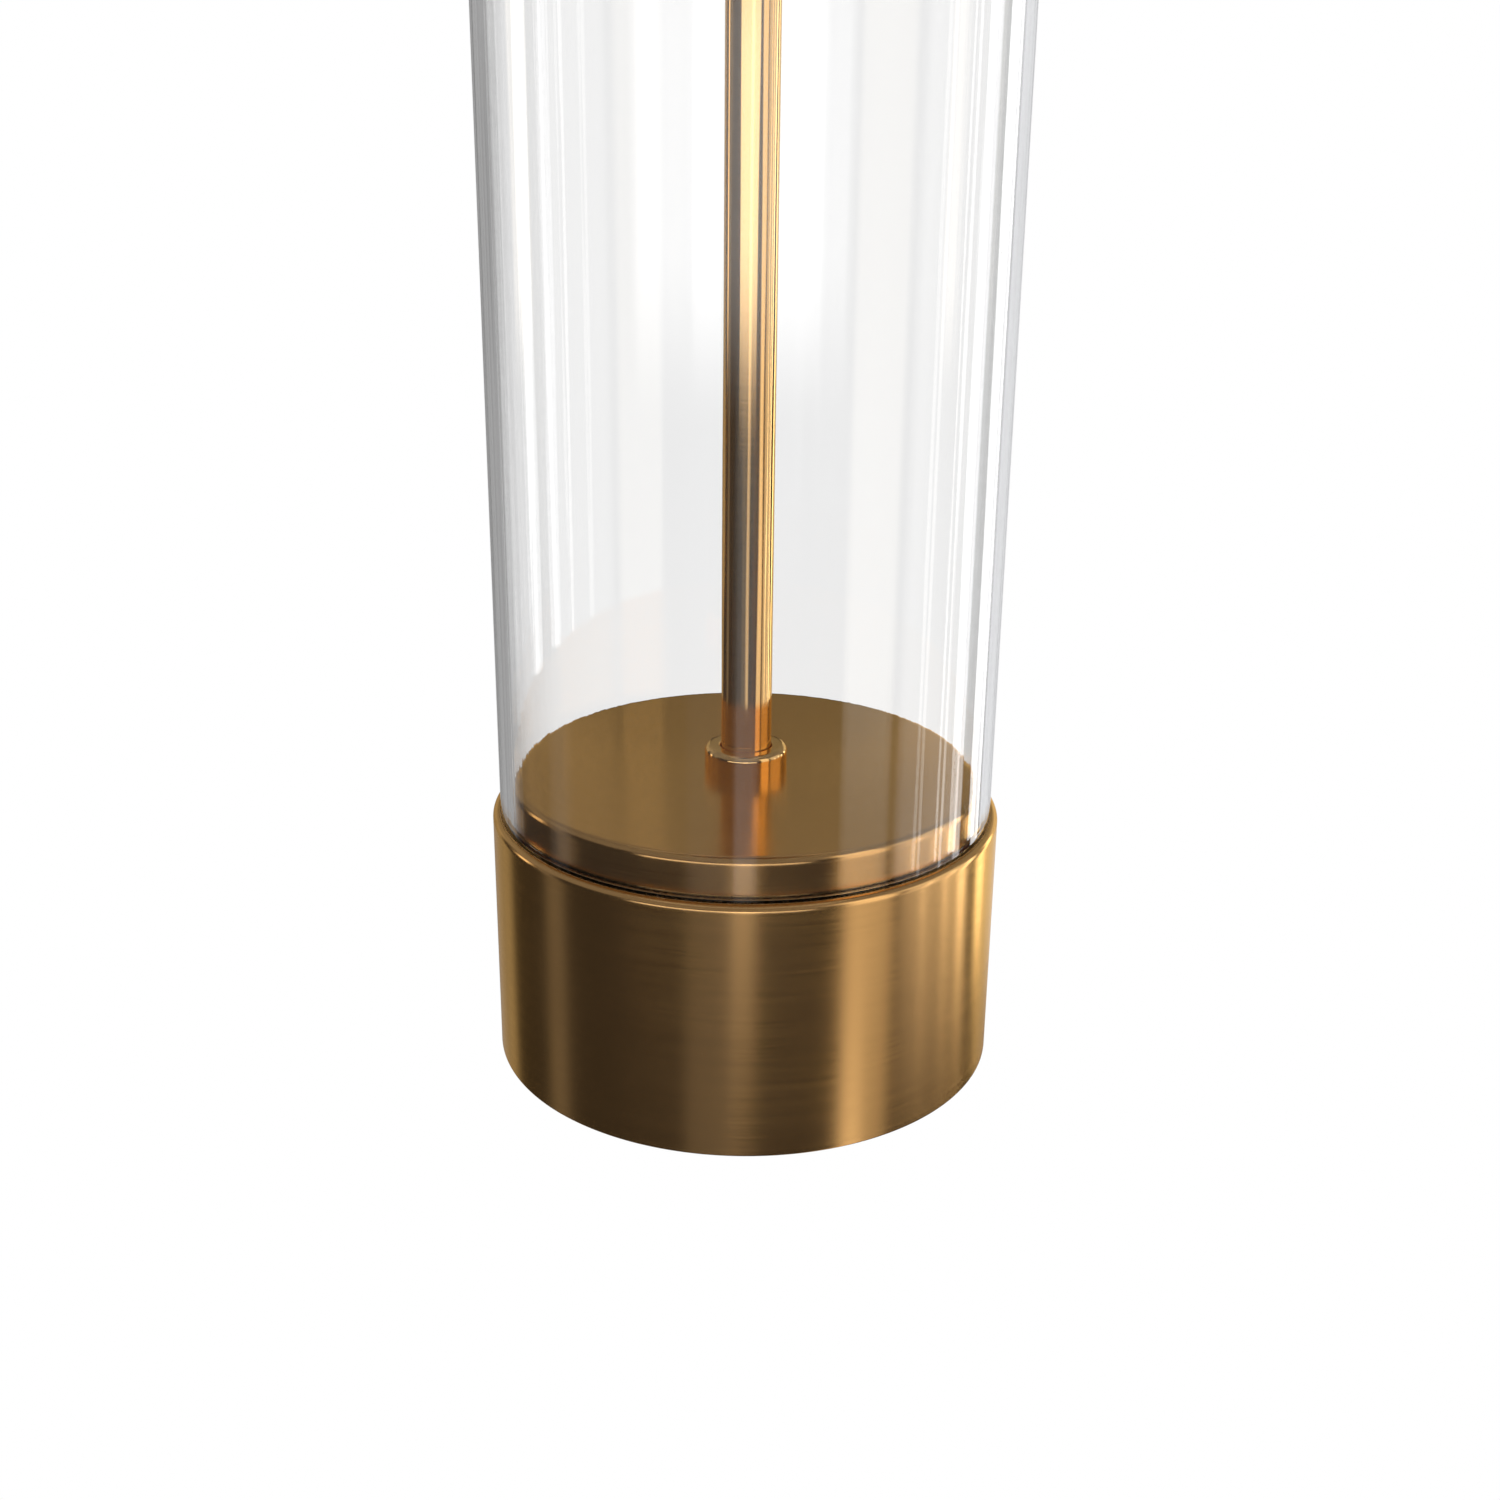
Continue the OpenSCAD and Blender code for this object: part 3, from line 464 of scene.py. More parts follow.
RING_ROUND = 0.6
ring_r, ring_z0, ring_z1 = span("check_ring")
seat_ring = rounded([(ring_r, ring_z0, RING_ROUND), (ring_r, ring_z1, RING_ROUND),
                     (BORE, ring_z1, 0), (BORE, ring_z0, 0)])
fit(lathe("seat_ring", seat_ring, turns=128),
    polished_brass, "lamp", "brass_polished", "check_ring")

# ---------------------------------------------------------------------------------------------
# Harp. One length of brass wire bent to a hoop: straight feet, a flare, straight sides and a
# flat top. Its feet stand in the ears of a stamped saddle, and a ferrule slides down over each.
# ---------------------------------------------------------------------------------------------

WIRE = 1.6               # radius of the wire
WIRE_SIDES = 28
FLARE = math.radians(42)
FLARE_ROUNDS = (14.0, 26.0)
HARP_TOP_ROUND = 44.0
FLARE_RISE = 29.0        # from the foot's end to where the flare starts
SLEEVE_BORE = 3.15
SLEEVE_PLAY = 0.15       # between the wire and the side of the ferrule's bore


def wire(name, path, radius, side):
    """Round wire along a path. side is a fixed direction square to the path, and with it and the
    tangent the ring at each point is path + radius (cos b side + sin b side x tangent). At each
    end the ring draws in over a small chamfer and then to a point, which closes the wire."""
    path = np.asarray(path, float)
    tangent = np.gradient(path, axis=0)
    tangent /= np.linalg.norm(tangent, axis=1, keepdims=True)
    chamfer = radius / 4
    path = np.concatenate([path[:1], path[:1], path[:1] + tangent[:1] * chamfer, path[1:-1],
                           path[-1:] - tangent[-1:] * chamfer, path[-1:], path[-1:]])
    tangent = np.concatenate([tangent[:1]] * 2 + [tangent] + [tangent[-1:]] * 2)
    radii = np.full(len(path), float(radius))
    radii[[0, -1]], radii[[1, -2]] = 0, radius - chamfer
    side = np.asarray(side, float)
    b = np.linspace(0, 2 * math.pi, WIRE_SIDES, endpoint=False)[None, :, None]
    ring = np.cos(b) * side + np.sin(b) * np.cross(side, tangent)[:, None]
    return skin(name, path[:, None] + radii[:, None, None] * ring, wrap=(False, True))


low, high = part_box("harp")
foot_z, harp_top = low.z * 1000, high.z * 1000 - WIRE
side_x = high.x * 1000 - WIRE
sleeve_low, sleeve_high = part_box("harp_sleeve_right")
sleeve_x, sleeve_r = (sleeve_low.x + sleeve_high.x) * 500, (sleeve_high.x - sleeve_low.x) * 500
foot_x = sleeve_x + SLEEVE_BORE - WIRE - SLEEVE_PLAY
turn = math.tan(FLARE / 2)
flare_low = (foot_x, foot_z + FLARE_RISE + FLARE_ROUNDS[0] * turn)
flare_high = (side_x, flare_low[1] + (side_x - foot_x) / math.tan(FLARE))
half_hoop = [(foot_x, foot_z, 0), flare_low + FLARE_ROUNDS[:1], flare_high + FLARE_ROUNDS[1:],
             (side_x, harp_top, HARP_TOP_ROUND)]
hoop = rounded(half_hoop + [(-x, z, r) for x, z, r in half_hoop[::-1]], 16, closed=False)
hoop = np.stack([hoop[:, 0], 0 * hoop[:, 0], hoop[:, 1]], 1)
drawn_brass = turned_brass("drawn brass wire", (0.82, 0.51, 0.22, 1.0), 0.2, 0.3,
                           run=0.004, pitch=0.0012, depth=0.000002)
fit(wire("harp_hoop", hoop, WIRE, (0, 1, 0)), drawn_brass, "lamp", "brass_polished", "harp")

z0, z1 = sleeve_low.z * 1000, sleeve_high.z * 1000
ferrule = rounded([(sleeve_r, z0, 0.5), (sleeve_r, z1, 0.5),
                   (SLEEVE_BORE, z1, 0.15), (SLEEVE_BORE, z0, 0.15)])
for name, node, body, sign in (("ferrule_left", "harp_sleeve_left", "sleeve_left", -1),
                               ("ferrule_right", "harp_sleeve_right", "sleeve_right", 1)):
    fit(lathe(name, ferrule, turns=72, place=Matrix.Translation((sign * sleeve_x / 1000, 0, 0))),
        polished_brass, body, "brass_polished", node)

stamped_brass = Finish("stamped brass", {"Metallic": 1.0})
stamped = stamped_brass.noise(stamped_brass.place, 1500.0, 4.0)
stamped_brass.feed(stamped_brass.shader, {
    "Base Color": stamped_brass.mix(stamped_brass.noise(stamped_brass.place, 200.0),
                                    (0.62, 0.40, 0.18, 1), (0.80, 0.55, 0.28, 1)),
    "Roughness": stamped_brass.ramp(stamped, 0.3, 0.7, 0.25, 0.4)})
stamped_brass.bump(stamped, 0.000006)
dress("harp_saddle", stamped_brass.material)

BOSS_R = 5.0
BOSS_ABOVE = 2.0         # from the top of the wire to the shoulder
SHOULDER = 1.6           # thickness of the shoulder that the shade sits on
STUD_R = 3.1
shoulder_r, boss_z0, stud_z1 = span("harp_stud")
shoulder_z0 = harp_top + WIRE + BOSS_ABOVE
shoulder_z1 = shoulder_z0 + SHOULDER
stud = rounded([
    (0, boss_z0, 0), (BOSS_R, boss_z0, 0.4), (BOSS_R, shoulder_z0, 0.2),
    (shoulder_r, shoulder_z0, 0.35), (shoulder_r, shoulder_z1, 0.35),
    (STUD_R, shoulder_z1, 0), (STUD_R, stud_z1, 0.5), (0, stud_z1, 0)])
fit(lathe("shade_stud", stud, turns=96), polished_brass, "lamp", "brass_polished", "harp_stud")

# ---------------------------------------------------------------------------------------------
# Socket. A drawn brass cap threaded on the pipe, and a thin shell that snaps into it, lined
# with rolled fibre round a moulded core. Beads rolled into the shell stiffen it.
# ---------------------------------------------------------------------------------------------

BOWL_WALL = 1.2
RIM_WALL = 0.7           # where the shell snaps in
NECK_WALL = 3.0          # of the threaded neck inside the bowl
NECK_TALL = 10.0
SNAP = 0.5               # depth of the groove rolled into the rim
seat_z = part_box("socket_cap")[0].z * 1000
rim_r, _, rim_z = span("socket_cap")
bowl = rim_r - BORE - NECK_WALL
socket_bowl = rounded([
    (BORE, seat_z, 0), (rim_r, seat_z, bowl),
    (rim_r, rim_z - 4.6, 0.2), (rim_r - SNAP, rim_z - 4.0, 0.3),
    (rim_r - SNAP, rim_z - 3.2, 0.3), (rim_r, rim_z - 2.6, 0.2), (rim_r, rim_z, 0.3),
    (rim_r - RIM_WALL, rim_z, 0.2), (rim_r - RIM_WALL, seat_z + bowl, 0),
    (rim_r - BOWL_WALL, seat_z + bowl, 0), (rim_r - BOWL_WALL, seat_z + BOWL_WALL, bowl - 1.6),
    (rim_r - bowl, seat_z + BOWL_WALL, 0), (rim_r - bowl, seat_z + NECK_TALL, 0.3),
    (BORE, seat_z + NECK_TALL, 0)], steps=9)
fit(lathe("socket_bowl", socket_bowl, turns=192),
    polished_brass, "lamp", "brass_polished", "socket_cap")

shell_r, shell_z0, shell_z1 = span("socket_shell")
SHELL_WALL = 0.5
BEAD_DEPTH = 0.45
BEAD_HALF = 1.5


def beaded_wall(radius, z0, z1, beads, steps=90):
    """Wall from z0 to z1 with a round groove at each bead: the radius less the bead's depth times
    the squared cosine of a quarter turn's share, distance over half width, and nothing beyond."""
    z = np.linspace(z0, z1, steps)
    away = np.clip(np.abs(z[:, None] - np.asarray(beads)[None]) / BEAD_HALF, 0, 1).min(1)
    return np.stack([radius - BEAD_DEPTH * np.cos(away * math.pi / 2) ** 2, z], 1)


beads = (shell_z0 + 14.5, shell_z1 - 7, shell_z1 - 3.5)
outside = beaded_wall(shell_r, shell_z0, shell_z1, beads)
fit(lathe("socket_body", np.concatenate([outside, outside[::-1] - (SHELL_WALL, 0)]), turns=192),
    polished_brass, "lamp", "brass_polished", "socket_shell")

fibre = Finish("rolled fibre", {"Roughness": 0.85})
paper = fibre.noise(fibre.stretched(900, 900, 250), 1.0, 5.0)
fibre.feed(fibre.shader, {
    "Base Color": fibre.mix(paper, (0.33, 0.21, 0.12, 1), (0.50, 0.35, 0.21, 1))})
fibre.bump(paper, 0.00006)
dress("socket_insulator", fibre.material)

phenolic = Finish("moulded phenolic", {"IOR": 1.6})
flow = phenolic.noise(phenolic.stretched(200, 200, 320), 1.0, 5.0)
phenolic.feed(phenolic.shader, {
    "Base Color": phenolic.mix(flow, (0.022, 0.016, 0.013, 1), (0.055, 0.04, 0.032, 1)),
    "Roughness": phenolic.ramp(flow, 0.3, 0.7, 0.22, 0.36)})
phenolic.bump(flow, 0.00001)
dress("socket_core", phenolic.material)

for node in ("screw_shell", "centre_contact", "terminal_screws"):
    dress(node, stamped_brass.material)

# ---------------------------------------------------------------------------------------------
# Switch. A threaded brass bushing comes out through the shell, and a black moulded knob with a
# fluted grip turns the shaft in it. The knob's axis points to the front.
# ---------------------------------------------------------------------------------------------

low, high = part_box("switch_bushing")
switch_z = (low.z + high.z) * 500
TO_FRONT = Matrix.Translation((0, 0, switch_z / 1000)) @ Matrix.Rotation(math.radians(90), 4, "X")
bush_in, bush_out, bush_r = -high.y * 1000, -low.y * 1000, high.x * 1000
BUSH_PITCH = 0.8
BUSH_THREAD = 0.36       # depth of the thread
BUSH_BORE = 2.07
thread = np.linspace(bush_in, bush_out - 0.3, 120)
turned_in = BUSH_THREAD / 2 * (1 - np.cos((thread - bush_in) * 2 * math.pi / BUSH_PITCH))
bushing = np.concatenate([np.stack([bush_r - turned_in, thread], 1), [
    (bush_r - 0.5, bush_out), (BUSH_BORE, bush_out), (BUSH_BORE, bush_in)]])
fit(lathe("switch_thread", bushing, turns=96, place=TO_FRONT),
    stamped_brass.material, "lamp", "brass_polished", "switch_bushing")

FLUTES = 16
FLUTE_DEPTH = 0.55
FLUTE_RUN_OUT = 1.2
SKIRT = 1.0              # height of the smooth skirt under the grip
KNOB_ROWS = 24
DIMPLE_R, DIMPLE = 2.6, 0.6
low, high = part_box("switch_knob")
knob_r, knob_in, knob_out = high.x * 1000, -high.y * 1000, -low.y * 1000


def fluted(a, r, z):
    """Hollows round the grip: depth times the squared cosine of half the flute count's angle, from
    a little above the skirt to the rounded end, and none near the middle of the face."""
    above_skirt = np.clip((z - knob_in - 1.6) / FLUTE_RUN_OUT, 0, 1)
    off_middle = np.clip((r - knob_r + 2.2) / FLUTE_RUN_OUT, 0, 1)
    return -FLUTE_DEPTH * above_skirt * off_middle * np.cos(a * FLUTES / 2) ** 2


knob_foot = rounded([(0, knob_in, 0), (knob_r, knob_in, 0.5), (knob_r, knob_in + SKIRT, 0)],
                    steps=5, closed=False)
knob_side = np.linspace(knob_in + SKIRT, knob_out - 2, KNOB_ROWS)
knob_face = rounded([
    (knob_r, knob_out - 1.9, 0), (knob_r, knob_out, 1.2), (DIMPLE_R, knob_out, 0.5),
    (2.0, knob_out - DIMPLE, 0.3), (0, knob_out - DIMPLE, 0)], steps=8, closed=False)
knob = np.concatenate([
    knob_foot[:-1], np.stack([np.full(KNOB_ROWS, knob_r), knob_side], 1), knob_face])
fit(lathe("knob", knob, turns=256, place=TO_FRONT, swell=fluted),
    black_plastic.material, "switch", "black_plastic", "switch_knob")

# ---------------------------------------------------------------------------------------------
# Bulb. Blown glass, frosted white inside, whose ball sweeps in to a neck. The nickel-plated cap
# is rolled with a real screw thread, and ends in a black insulator and a solder contact.
# ---------------------------------------------------------------------------------------------

bulb_r, bulb_foot, bulb_top = span("bulb_glass")
bulb_cap_r, bulb_cap_z0, bulb_cap_z1 = span("bulb_cap")
BULB_WALL = 0.8
SWEEP_FROM = math.radians(-25)


def bulb_outline(inset, steps=40):
    """Half outline of the bulb, drawn in by inset: a circle from the crown to 25 degrees below the
    ball's middle, then a cubic curve b(t) = (1-t)^3 p0 + 3 (1-t)^2 t p1 + 3 (1-t) t^2 p2 + t^3 p3
    that leaves along the circle and arrives straight down in the neck."""
    r, neck, middle = bulb_r - inset, bulb_cap_r - 0.6 - inset, bulb_top - bulb_r
    a = np.linspace(math.pi / 2, SWEEP_FROM, steps)
    ball = np.stack([r * np.cos(a), middle + r * np.sin(a)], 1)
    p3 = np.array([neck, bulb_cap_z1 + 0.5])
    p1 = ball[-1] + 16 * np.array([math.sin(SWEEP_FROM), -math.cos(SWEEP_FROM)])
    p2 = p3 + (0, 14)
    t = np.linspace(0, 1, steps)[1:, None]
    sweep = ((1 - t) ** 3 * ball[-1] + 3 * (1 - t) ** 2 * t * p1
             + 3 * (1 - t) * t ** 2 * p2 + t ** 3 * p3)
    return np.concatenate([ball, sweep, [(neck, bulb_foot)]])


opal = Finish("frosted white glass", {
    "IOR": 1.5, "Subsurface Weight": 0.3, "Subsurface Radius": (0.004, 0.004, 0.0035),
    "Subsurface Scale": 1.0})
frost = opal.noise(opal.place, 900.0, 4.0)
opal.feed(opal.shader, {
    "Base Color": opal.mix(opal.noise(opal.place, 30.0),
                           (0.93, 0.925, 0.90, 1), (0.97, 0.965, 0.945, 1)),
    "Roughness": opal.ramp(frost, 0.3, 0.7, 0.28, 0.38)})
envelope = np.concatenate([bulb_outline(0), bulb_outline(BULB_WALL)[::-1]])
fit(lathe("bulb_envelope", envelope, turns=160), opal.material, "bulb", "opal_glass", "bulb_glass")

PITCH = 3.63
THREAD = 0.75            # depth of the rolled thread
THREAD_RUN_OUT = 1.5
CAP_WALL = 0.5
CAP_ROWS = 110


def screw_thread(a, r, z):
    """Rolled helix: in from the crest by half the depth times one minus the cosine of a turn's
    phase, z over the pitch less the angle, and run out at both ends of the cap."""
    foot = np.clip((z - bulb_cap_z0 - 0.8) / THREAD_RUN_OUT, 0, 1)
    head = np.clip((bulb_cap_z1 - 2.2 - z) / THREAD_RUN_OUT, 0, 1)
    return -THREAD * foot * head * 0.5 * (1 - np.cos(2 * math.pi * z / PITCH - a))


nickel = Finish("nickel plate", {"Metallic": 1.0})
rolled = nickel.noise(turned_coordinates(nickel, 0.01, 0.0004), 1.0, 4.0)
nickel.feed(nickel.shader, {
    "Base Color": nickel.mix(rolled, (0.56, 0.55, 0.52, 1), (0.70, 0.69, 0.66, 1)),
    "Roughness": nickel.ramp(rolled, 0.3, 0.7, 0.18, 0.3)})
nickel.bump(rolled, 0.000003)
cap_z = np.linspace(bulb_cap_z0, bulb_cap_z1, CAP_ROWS)
cap_side = np.stack([np.full(CAP_ROWS, bulb_cap_r), cap_z], 1)
screw_cap = np.concatenate([cap_side, cap_side[::-1] - (CAP_WALL, 0)])
fit(lathe("bulb_screw_cap", screw_cap, turns=128, swell=screw_thread),
    nickel.material, "bulb", "nickel_cap", "bulb_cap")

CONE_TIP_R = 6.0
cone_r, cone_z0, cone_z1 = span("bulb_insulator")
cone = rounded([(0, cone_z0, 0), (CONE_TIP_R, cone_z0, 0.4),
                (cone_r, cone_z1, 0.2), (0, cone_z1, 0)])
fit(lathe("bulb_glass_cone", cone, turns=96),
    phenolic.material, "bulb", "phenolic", "bulb_insulator")
tip_r, tip_z0, tip_z1 = span("bulb_contact")
tip = rounded([(0, tip_z0, 0), (tip_r, tip_z0, 1.1), (tip_r, tip_z1, 0.2), (0, tip_z1, 0)])
fit(lathe("bulb_solder_tip", tip, turns=64), nickel.material, "bulb", "nickel_cap", "bulb_contact")

# ---------------------------------------------------------------------------------------------
# Shade. Linen laminated to a stiff white lining and rolled to a slightly tapered drum with one
# glued lap at the back. A folded tape of the same linen binds its top and bottom edges.
# ---------------------------------------------------------------------------------------------

low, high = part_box("shade_panel")
shade_z0, shade_z1, shade_low_r = low.z * 1000, high.z * 1000, high.x * 1000
SHADE_HIGH_R = 152.5
LINEN = 0.6              # thickness of the cloth
LINING = 0.55
GLUE = 0.03              # between the cloth and its lining
LAP_WIDTH = 14.0
LAP_STEP = 0.45
LAP_RAMP = 0.6
THREAD_PITCH = 0.0011    # in metres


def shade_radius(z):
    return shade_low_r + (SHADE_HIGH_R - shade_low_r) * (z - shade_z0) / (shade_z1 - shade_z0)


def lap(a, r, z):
    """Where the panel's end laps over its start the wall stands out by the lap's step, over a
    band centred on the back with a straight ramp at each of its sides."""
    from_back = np.abs(np.angle(np.exp(1j * (a - math.pi / 2)))) * shade_low_r
    return np.clip((LAP_WIDTH / 2 - from_back) / LAP_RAMP, 0, 1) * LAP_STEP


def weave(name, light, dark):
    """Plain weave in UV metres: weft and warp are cosines along v and u, at the thread's pitch.
    Noise shifts their phase for slubs. Their product, which changes sign at every other crossing,
    and the noise give height and tone."""
    cloth = Finish(name, {"Roughness": 0.9, "Sheen Weight": 0.25, "Sheen Roughness": 0.6})
    uv = cloth.node("UVMap", {}, uv_map="surface")
    slub = cloth.noise(cloth.node("Mapping", {"Vector": uv, "Scale": (60, 900, 1)}), 1.0, 4.0)
    slub_up = cloth.noise(cloth.node("Mapping", {"Vector": uv, "Scale": (900, 60, 1)}), 1.0, 4.0)
    u, v, _ = cloth.node("SeparateXYZ", {0: uv}).outputs
    weft, warp = (cloth.math("COSINE", cloth.math(
        "MULTIPLY_ADD", along, 2 * math.pi / THREAD_PITCH, cloth.math("MULTIPLY", wander, 5.0)))
        for along, wander in ((v, slub), (u, slub_up)))
    cross = cloth.math("MULTIPLY", weft, warp)
    height = cloth.math("ADD", cloth.math("MULTIPLY", cross, 0.5), cloth.math("ADD", slub, slub_up))
    tone = cloth.ramp(height, 0.3, 1.6, 0.0, 1.0)
    cloth.feed(cloth.shader, {"Base Color": cloth.mix(tone, dark, light)})
    cloth.bump(height, 0.00018, 0.9)
    return cloth.material


linen = weave("natural linen", (0.86, 0.81, 0.72, 1), (0.66, 0.60, 0.51, 1))
outer = np.linspace(shade_z0, shade_z1, 48)


def panel(outside, inside):
    """Cross-section of a rolled layer between two depths under the shade's outer face."""
    face = np.stack([shade_radius(outer), outer], 1)
    return np.concatenate([face - (outside, 0), face[::-1] - (inside, 0)])


fit(lathe("shade_linen", panel(0, LINEN), turns=720,
          swell=lambda a, r, z: lap(a, r, z) * (r > shade_radius(z) - 0.1)),
    linen, "shade", "shade_fabric", "shade_panel")

lining = Finish("white lining", {"Roughness": 0.55})
sheen_marks = lining.noise(lining.stretched(300, 300, 40), 1.0, 4.0)
lining.feed(lining.shader, {
    "Base Color": lining.mix(sheen_marks, (0.80, 0.79, 0.76, 1), (0.86, 0.85, 0.83, 1))})
lining.bump(sheen_marks, 0.00004)
fit(lathe("shade_lining", panel(LINEN + GLUE, LINEN + LINING), turns=360),
    lining.material, "shade", "shade_fabric")

TAPE_OUT = 0.35          # how far the tape stands out of the cloth, and past the edge
TAPE_IN = 1.6
TAPE_WIDTH = 9.0
for name, edge, inward in (("shade_tape_top", shade_z1, -1), ("shade_tape_bottom", shade_z0, 1)):
    far, fold = edge + inward * TAPE_WIDTH, edge - inward * TAPE_OUT
    edge_r, far_r = shade_radius(edge), shade_radius(far)
    tape = rounded([
        (edge_r + TAPE_OUT, fold, 0.3), (far_r + TAPE_OUT, far, 0.12),
        (far_r + TAPE_OUT - 0.45, far, 0), (edge_r - 0.1, edge, 0), (edge_r - 1.15, edge, 0),
        (far_r - 1.2, far, 0), (far_r - TAPE_IN, far, 0.12), (edge_r - TAPE_IN, fold, 0.3)],
        steps=4)
    fit(lathe(name, tape, turns=720,
              swell=lambda a, r, z: lap(a, r, z) * (r > shade_radius(z) + 0.05)),
        linen, "shade", "shade_fabric")

# ---------------------------------------------------------------------------------------------
# Spider and rings. Brass-plated wire rings stiffen both edges of the shade. Three arms run from
# the top ring down to a pierced washer that sits on the harp's stud.
# ---------------------------------------------------------------------------------------------

RING_WIRE = 1.5          # radius of the rings' wire
ARM_WIRE = 1.3
HUB_BORE = 3.4
HUB_R_OUT = 12.5
HUB_THICK = 1.6
ARM_FROM = 9.5           # radius where an arm starts on the hub
ARM_ABOVE = 1.8          # from the hub's foot to the middle of the arm's wire
low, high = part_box("shade_spider")
hub_z0, ring_z = low.z * 1000, high.z * 1000 - RING_WIRE
top_ring_r = max(high.x, -low.x) * 1000 - RING_WIRE
low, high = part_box("shade_bottom_ring")
bottom_ring_r, bottom_ring_z = high.x * 1000 - RING_WIRE, (low.z + high.z) * 500


def ring(name, radius, z, *nodes):
    """Torus: a circle of the wire's radius carried round at the ring's radius."""
    b = np.linspace(0, 2 * math.pi, 24, endpoint=False)
    loop = np.stack([radius + RING_WIRE * np.cos(b), z + RING_WIRE * np.sin(b)], 1)
    return fit(lathe(name, loop, turns=360), drawn_brass, "shade", "brass_polished", *nodes)


ring("shade_top_ring", top_ring_r, ring_z, "shade_spider")
ring("shade_low_ring", bottom_ring_r, bottom_ring_z, "shade_bottom_ring")
hub_z1 = hub_z0 + HUB_THICK
hub = rounded([(HUB_BORE, hub_z0, 0.2), (HUB_R_OUT, hub_z0, 0.5),
               (HUB_R_OUT, hub_z1, 0.5), (HUB_BORE, hub_z1, 0.2)])
fit(lathe("spider_hub", hub, turns=96), drawn_brass, "shade", "brass_polished")
for k, angle in enumerate((90, 210, 330)):
    a = math.radians(angle)
    out = np.array([math.cos(a), math.sin(a), 0])
    t = np.linspace(0, 1, 24)[:, None]
    reach = ARM_FROM + (top_ring_r - ARM_FROM) * t
    height = hub_z0 + ARM_ABOVE + (ring_z - hub_z0 - ARM_ABOVE) * t
    fit(wire("spider_arm_%d" % (k + 1), out * reach + np.array([0, 0, 1]) * height, ARM_WIRE,
             (-math.sin(a), math.cos(a), 0)), drawn_brass, "shade", "brass_polished")

# ---------------------------------------------------------------------------------------------
# Finial. Turned and polished brass: a foot that clamps the shade, a slim waist, a bead and a
# ball. It screws down on the harp's stud, so it is drilled from below.
# ---------------------------------------------------------------------------------------------

FINIAL_BORE = 3.2
FINIAL_FOOT = 7.0
FINIAL_WAIST = 4.6
FINIAL_BEAD = 5.6
FOOT_TALL = 3.0
DRILLED = 12.5           # depth of the hole for the stud
ball_r, finial_z0, finial_z1 = span("finial")
ball_z = finial_z1 - ball_r
bead_z = ball_z - ball_r - 1
start = -math.acos(min(1.0, FINIAL_BEAD / ball_r))
a = np.linspace(start, math.pi / 2, 40)
ball = np.stack([ball_r * np.cos(a), ball_z + ball_r * np.sin(a)], 1)
ball[-1, 0] = 0
finial_foot = rounded([
    (FINIAL_BORE, finial_z0, 0.2), (FINIAL_FOOT, finial_z0, 0.3),
    (FINIAL_FOOT, finial_z0 + FOOT_TALL, 1.0), (FINIAL_WAIST, finial_z0 + FOOT_TALL, 1.4),
    (FINIAL_WAIST, bead_z, 0.4), (FINIAL_BEAD, bead_z, 0.4),
    (FINIAL_BEAD, ball[0, 1] - 0.05, 0)], steps=8, closed=False)
drilled_end = [(0, finial_z0 + DRILLED), (FINIAL_BORE, finial_z0 + DRILLED)]
fit(lathe("finial_ball", np.concatenate([finial_foot, ball, drilled_end]), turns=128),
    polished_brass, "finial", "brass_polished", "finial")

# ---------------------------------------------------------------------------------------------
# Stage. A plain white floor and a soft studio: what is looked at directly, or through the clear
# glass, stands on white, and the brass mirrors a dim room with soft boxes in it.
# ---------------------------------------------------------------------------------------------

view = bpy.context.scene.view_settings
view.view_transform = "Standard"
view.look = "None"


def straight_view(graph, beyond=0.0):
    """1 for a ray that has only gone through glass since the camera, and 0 after any reflection.
    The sky counts one step more than a surface does, which beyond takes off again."""
    path = graph.node("LightPath", {})
    steps = graph.math("SUBTRACT", path.outputs["Ray Depth"], path.outputs["Transmission Depth"])
    through = graph.math("MULTIPLY", path.outputs["Is Transmission Ray"],
                         graph.math("LESS_THAN", steps, beyond + 0.5))
    return graph.math("MAXIMUM", path.outputs["Is Camera Ray"], through), path


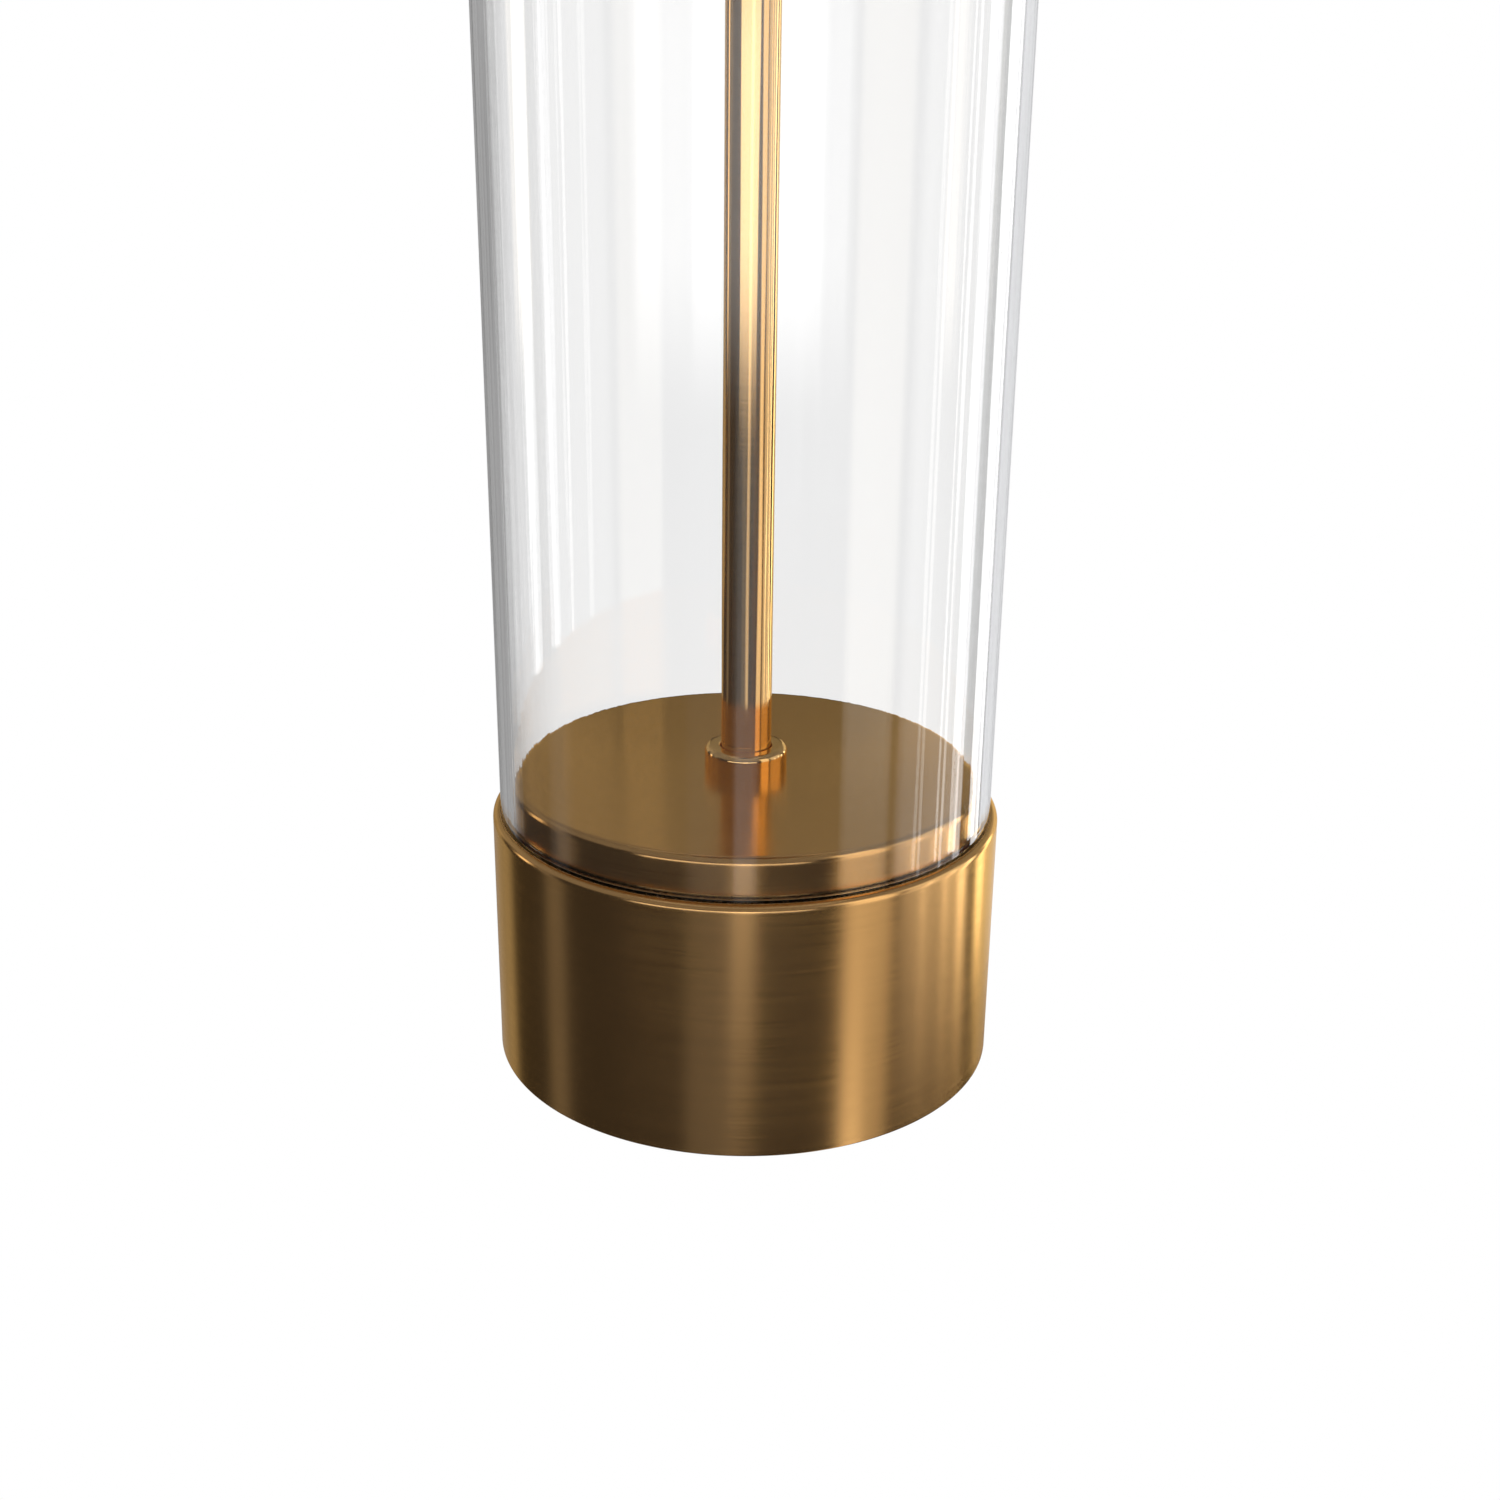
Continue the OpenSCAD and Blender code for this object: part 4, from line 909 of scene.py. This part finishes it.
# azimuth of the middle (0 is the front, positive to the right), half width, softness, lowest and
# highest elevation and the softness of the lower edge, all in degrees, then power and colour
SOFT_BOXES = [
    (0, 5, 5, -26, 8, 3, 0.75, (1.0, 0.98, 0.95)),
    (-10, 38, 5, -8, 4, 3, 1.7, (1.0, 0.99, 0.98)),
    (-14, 12, 6, -80, -8, 3, 0.09, (0.95, 0.98, 1.05)),
    (56, 12, 4, -22, 40, 5, 1.2, (1.0, 0.93, 0.80)),
    (57, 12, 5, -80, -23, 4, 0.40, (1.0, 0.93, 0.78)),
    (52, 5, 4, -80, -31, 2, 1.0, (1.0, 0.95, 0.85)),
    (92, 19, 6, -26, 30, 4, 0.80, (1.0, 0.98, 0.95)),
    (86, 0.9, 0.8, -26, 12, 1, 2.0, (1.0, 0.98, 0.95)),
    (101, 0.8, 0.8, -26, 12, 1, 3.0, (1.0, 0.98, 0.96)),
    (114, 3.0, 1.5, -26, 12, 1, 3.0, (1.0, 0.99, 1.0)),
    (133, 4.5, 1.5, -26, 12, 1, 3.0, (1.0, 1.0, 1.0)),
    (156, 16, 3, -27, 18, 2, 0.55, (0.98, 0.99, 1.02)),
    (156, 16, 3, -80, 18, 2, 0.22, (1.0, 1.0, 1.0)),
    (-158, 12, 3, -80, 18, 2, 0.34, (1.0, 1.0, 1.0)),
    (-138, 7, 8, -80, 18, 4, 0.34, (1.0, 1.0, 1.0)),
    (-110, 5, 3, -8, 12, 2, 1.6, (1.0, 0.9, 0.75)),
    (-94, 6, 5, -80, 18, 4, 0.15, (1.0, 1.0, 1.0)),
    (180, 200, 1, 18, 90, 6, 0.20, (1.0, 1.0, 1.0)),
    (180, 70, 20, 2, 34, 6, 0.07, (1.0, 1.0, 1.0)),
]
SOFT_TOP = math.radians(4)
ROOM = (0.045, 0.043, 0.042)
WHITE = (1.0, 1.0, 1.0, 1.0)
EVEN_LIGHT = (0.92, 0.92, 0.92, 1.0)     # what lights cloth, plastic and the bulb, from all round

world = bpy.data.worlds.new("studio")
bpy.context.scene.world = world
world.use_nodes = True
studio = Graph(world.node_tree)
direction = studio.node("TexCoord", {}).outputs["Generated"]
dx, dy, dz = studio.node("SeparateXYZ", {0: direction}).outputs
azimuth = studio.math("ARCTAN2", dx, studio.math("MULTIPLY", dy, -1.0))
elevation = studio.math("ARCSINE", dz)
light = studio.node("CombineXYZ", dict(enumerate(ROOM)))
for *degrees, power, colour in SOFT_BOXES:
    middle, half, soft, low, high, soft_low = map(math.radians, degrees)
    turned = studio.math("WRAP", studio.math("SUBTRACT", azimuth, middle), math.pi, -math.pi)
    off = studio.math("ABSOLUTE", turned)
    across = studio.ramp(off, half - soft / 2, half + soft / 2, 1.0, 0.0)
    above = studio.ramp(elevation, low - soft_low, low + soft_low, 0.0, 1.0)
    below = studio.ramp(elevation, high - SOFT_TOP, high + SOFT_TOP, 1.0, 0.0)
    window = studio.math("MULTIPLY", across, studio.math("MULTIPLY", above, below))
    glow = studio.node("VectorMath", {0: tuple(power * c for c in colour), "Scale": window},
                       operation="SCALE")
    light = studio.node("VectorMath", {0: light, 1: glow}, operation="ADD")
seen, path = straight_view(studio, 1.0)
mirrored = studio.mix(path.outputs["Is Diffuse Ray"], light.outputs[0], EVEN_LIGHT)
studio.feed(studio.tree.nodes["Background"], {"Color": studio.mix(seen, mirrored, WHITE)})
world.cycles.sampling_method = "NONE"

FLOOR_SIZE = 30      # metres
bpy.ops.mesh.primitive_plane_add(size=FLOOR_SIZE)
floor = bpy.context.object
floor.name = "floor"
paint = bpy.data.materials.new("white floor")
paint.use_nodes = True
paint.cycles.emission_sampling = "NONE"
cove = Graph(paint.node_tree)
cove.tree.nodes.clear()
seen, path = straight_view(cove)
shows = cove.math("MAXIMUM", seen, path.outputs["Is Diffuse Ray"])
mixed = cove.node("MixShader", {0: shows, 1: cove.node("BsdfTransparent", {}),
                                2: cove.node("Emission", {"Color": WHITE, "Strength": 1.0})})
cove.node("OutputMaterial", {"Surface": mixed})
floor.data.materials.append(paint)

# ---------------------------------------------------------------------------------------------
# Camera. It stands close in front of the lamp, at the middle of the glass, and looks down at
# the base, turned a fraction of a degree.
# ---------------------------------------------------------------------------------------------

PITCH_DOWN, YAW, ROLL = 0.358, 0.0023, 0.0111    # radians
STANDS_AT = (0, -0.4258, 0.2359)
LENS, SENSOR = 44.58, 36.0
forward = np.array([math.sin(YAW) * math.cos(PITCH_DOWN), math.cos(YAW) * math.cos(PITCH_DOWN),
                    -math.sin(PITCH_DOWN)])
right = np.array([math.cos(YAW), -math.sin(YAW), 0.0])
up = np.cross(right, forward)
rolled_right = math.cos(ROLL) * right + math.sin(ROLL) * up
rolled_up = math.cos(ROLL) * up - math.sin(ROLL) * right
level = Matrix(np.stack([rolled_right, rolled_up, -forward], 1).tolist())
camera = bpy.data.objects.new("camera", bpy.data.cameras.new("camera"))
bpy.context.scene.collection.objects.link(camera)
camera.data.lens, camera.data.sensor_width = LENS, SENSOR
camera.matrix_world = Matrix.Translation(STANDS_AT) @ level.to_4x4()
bpy.context.scene.camera = camera
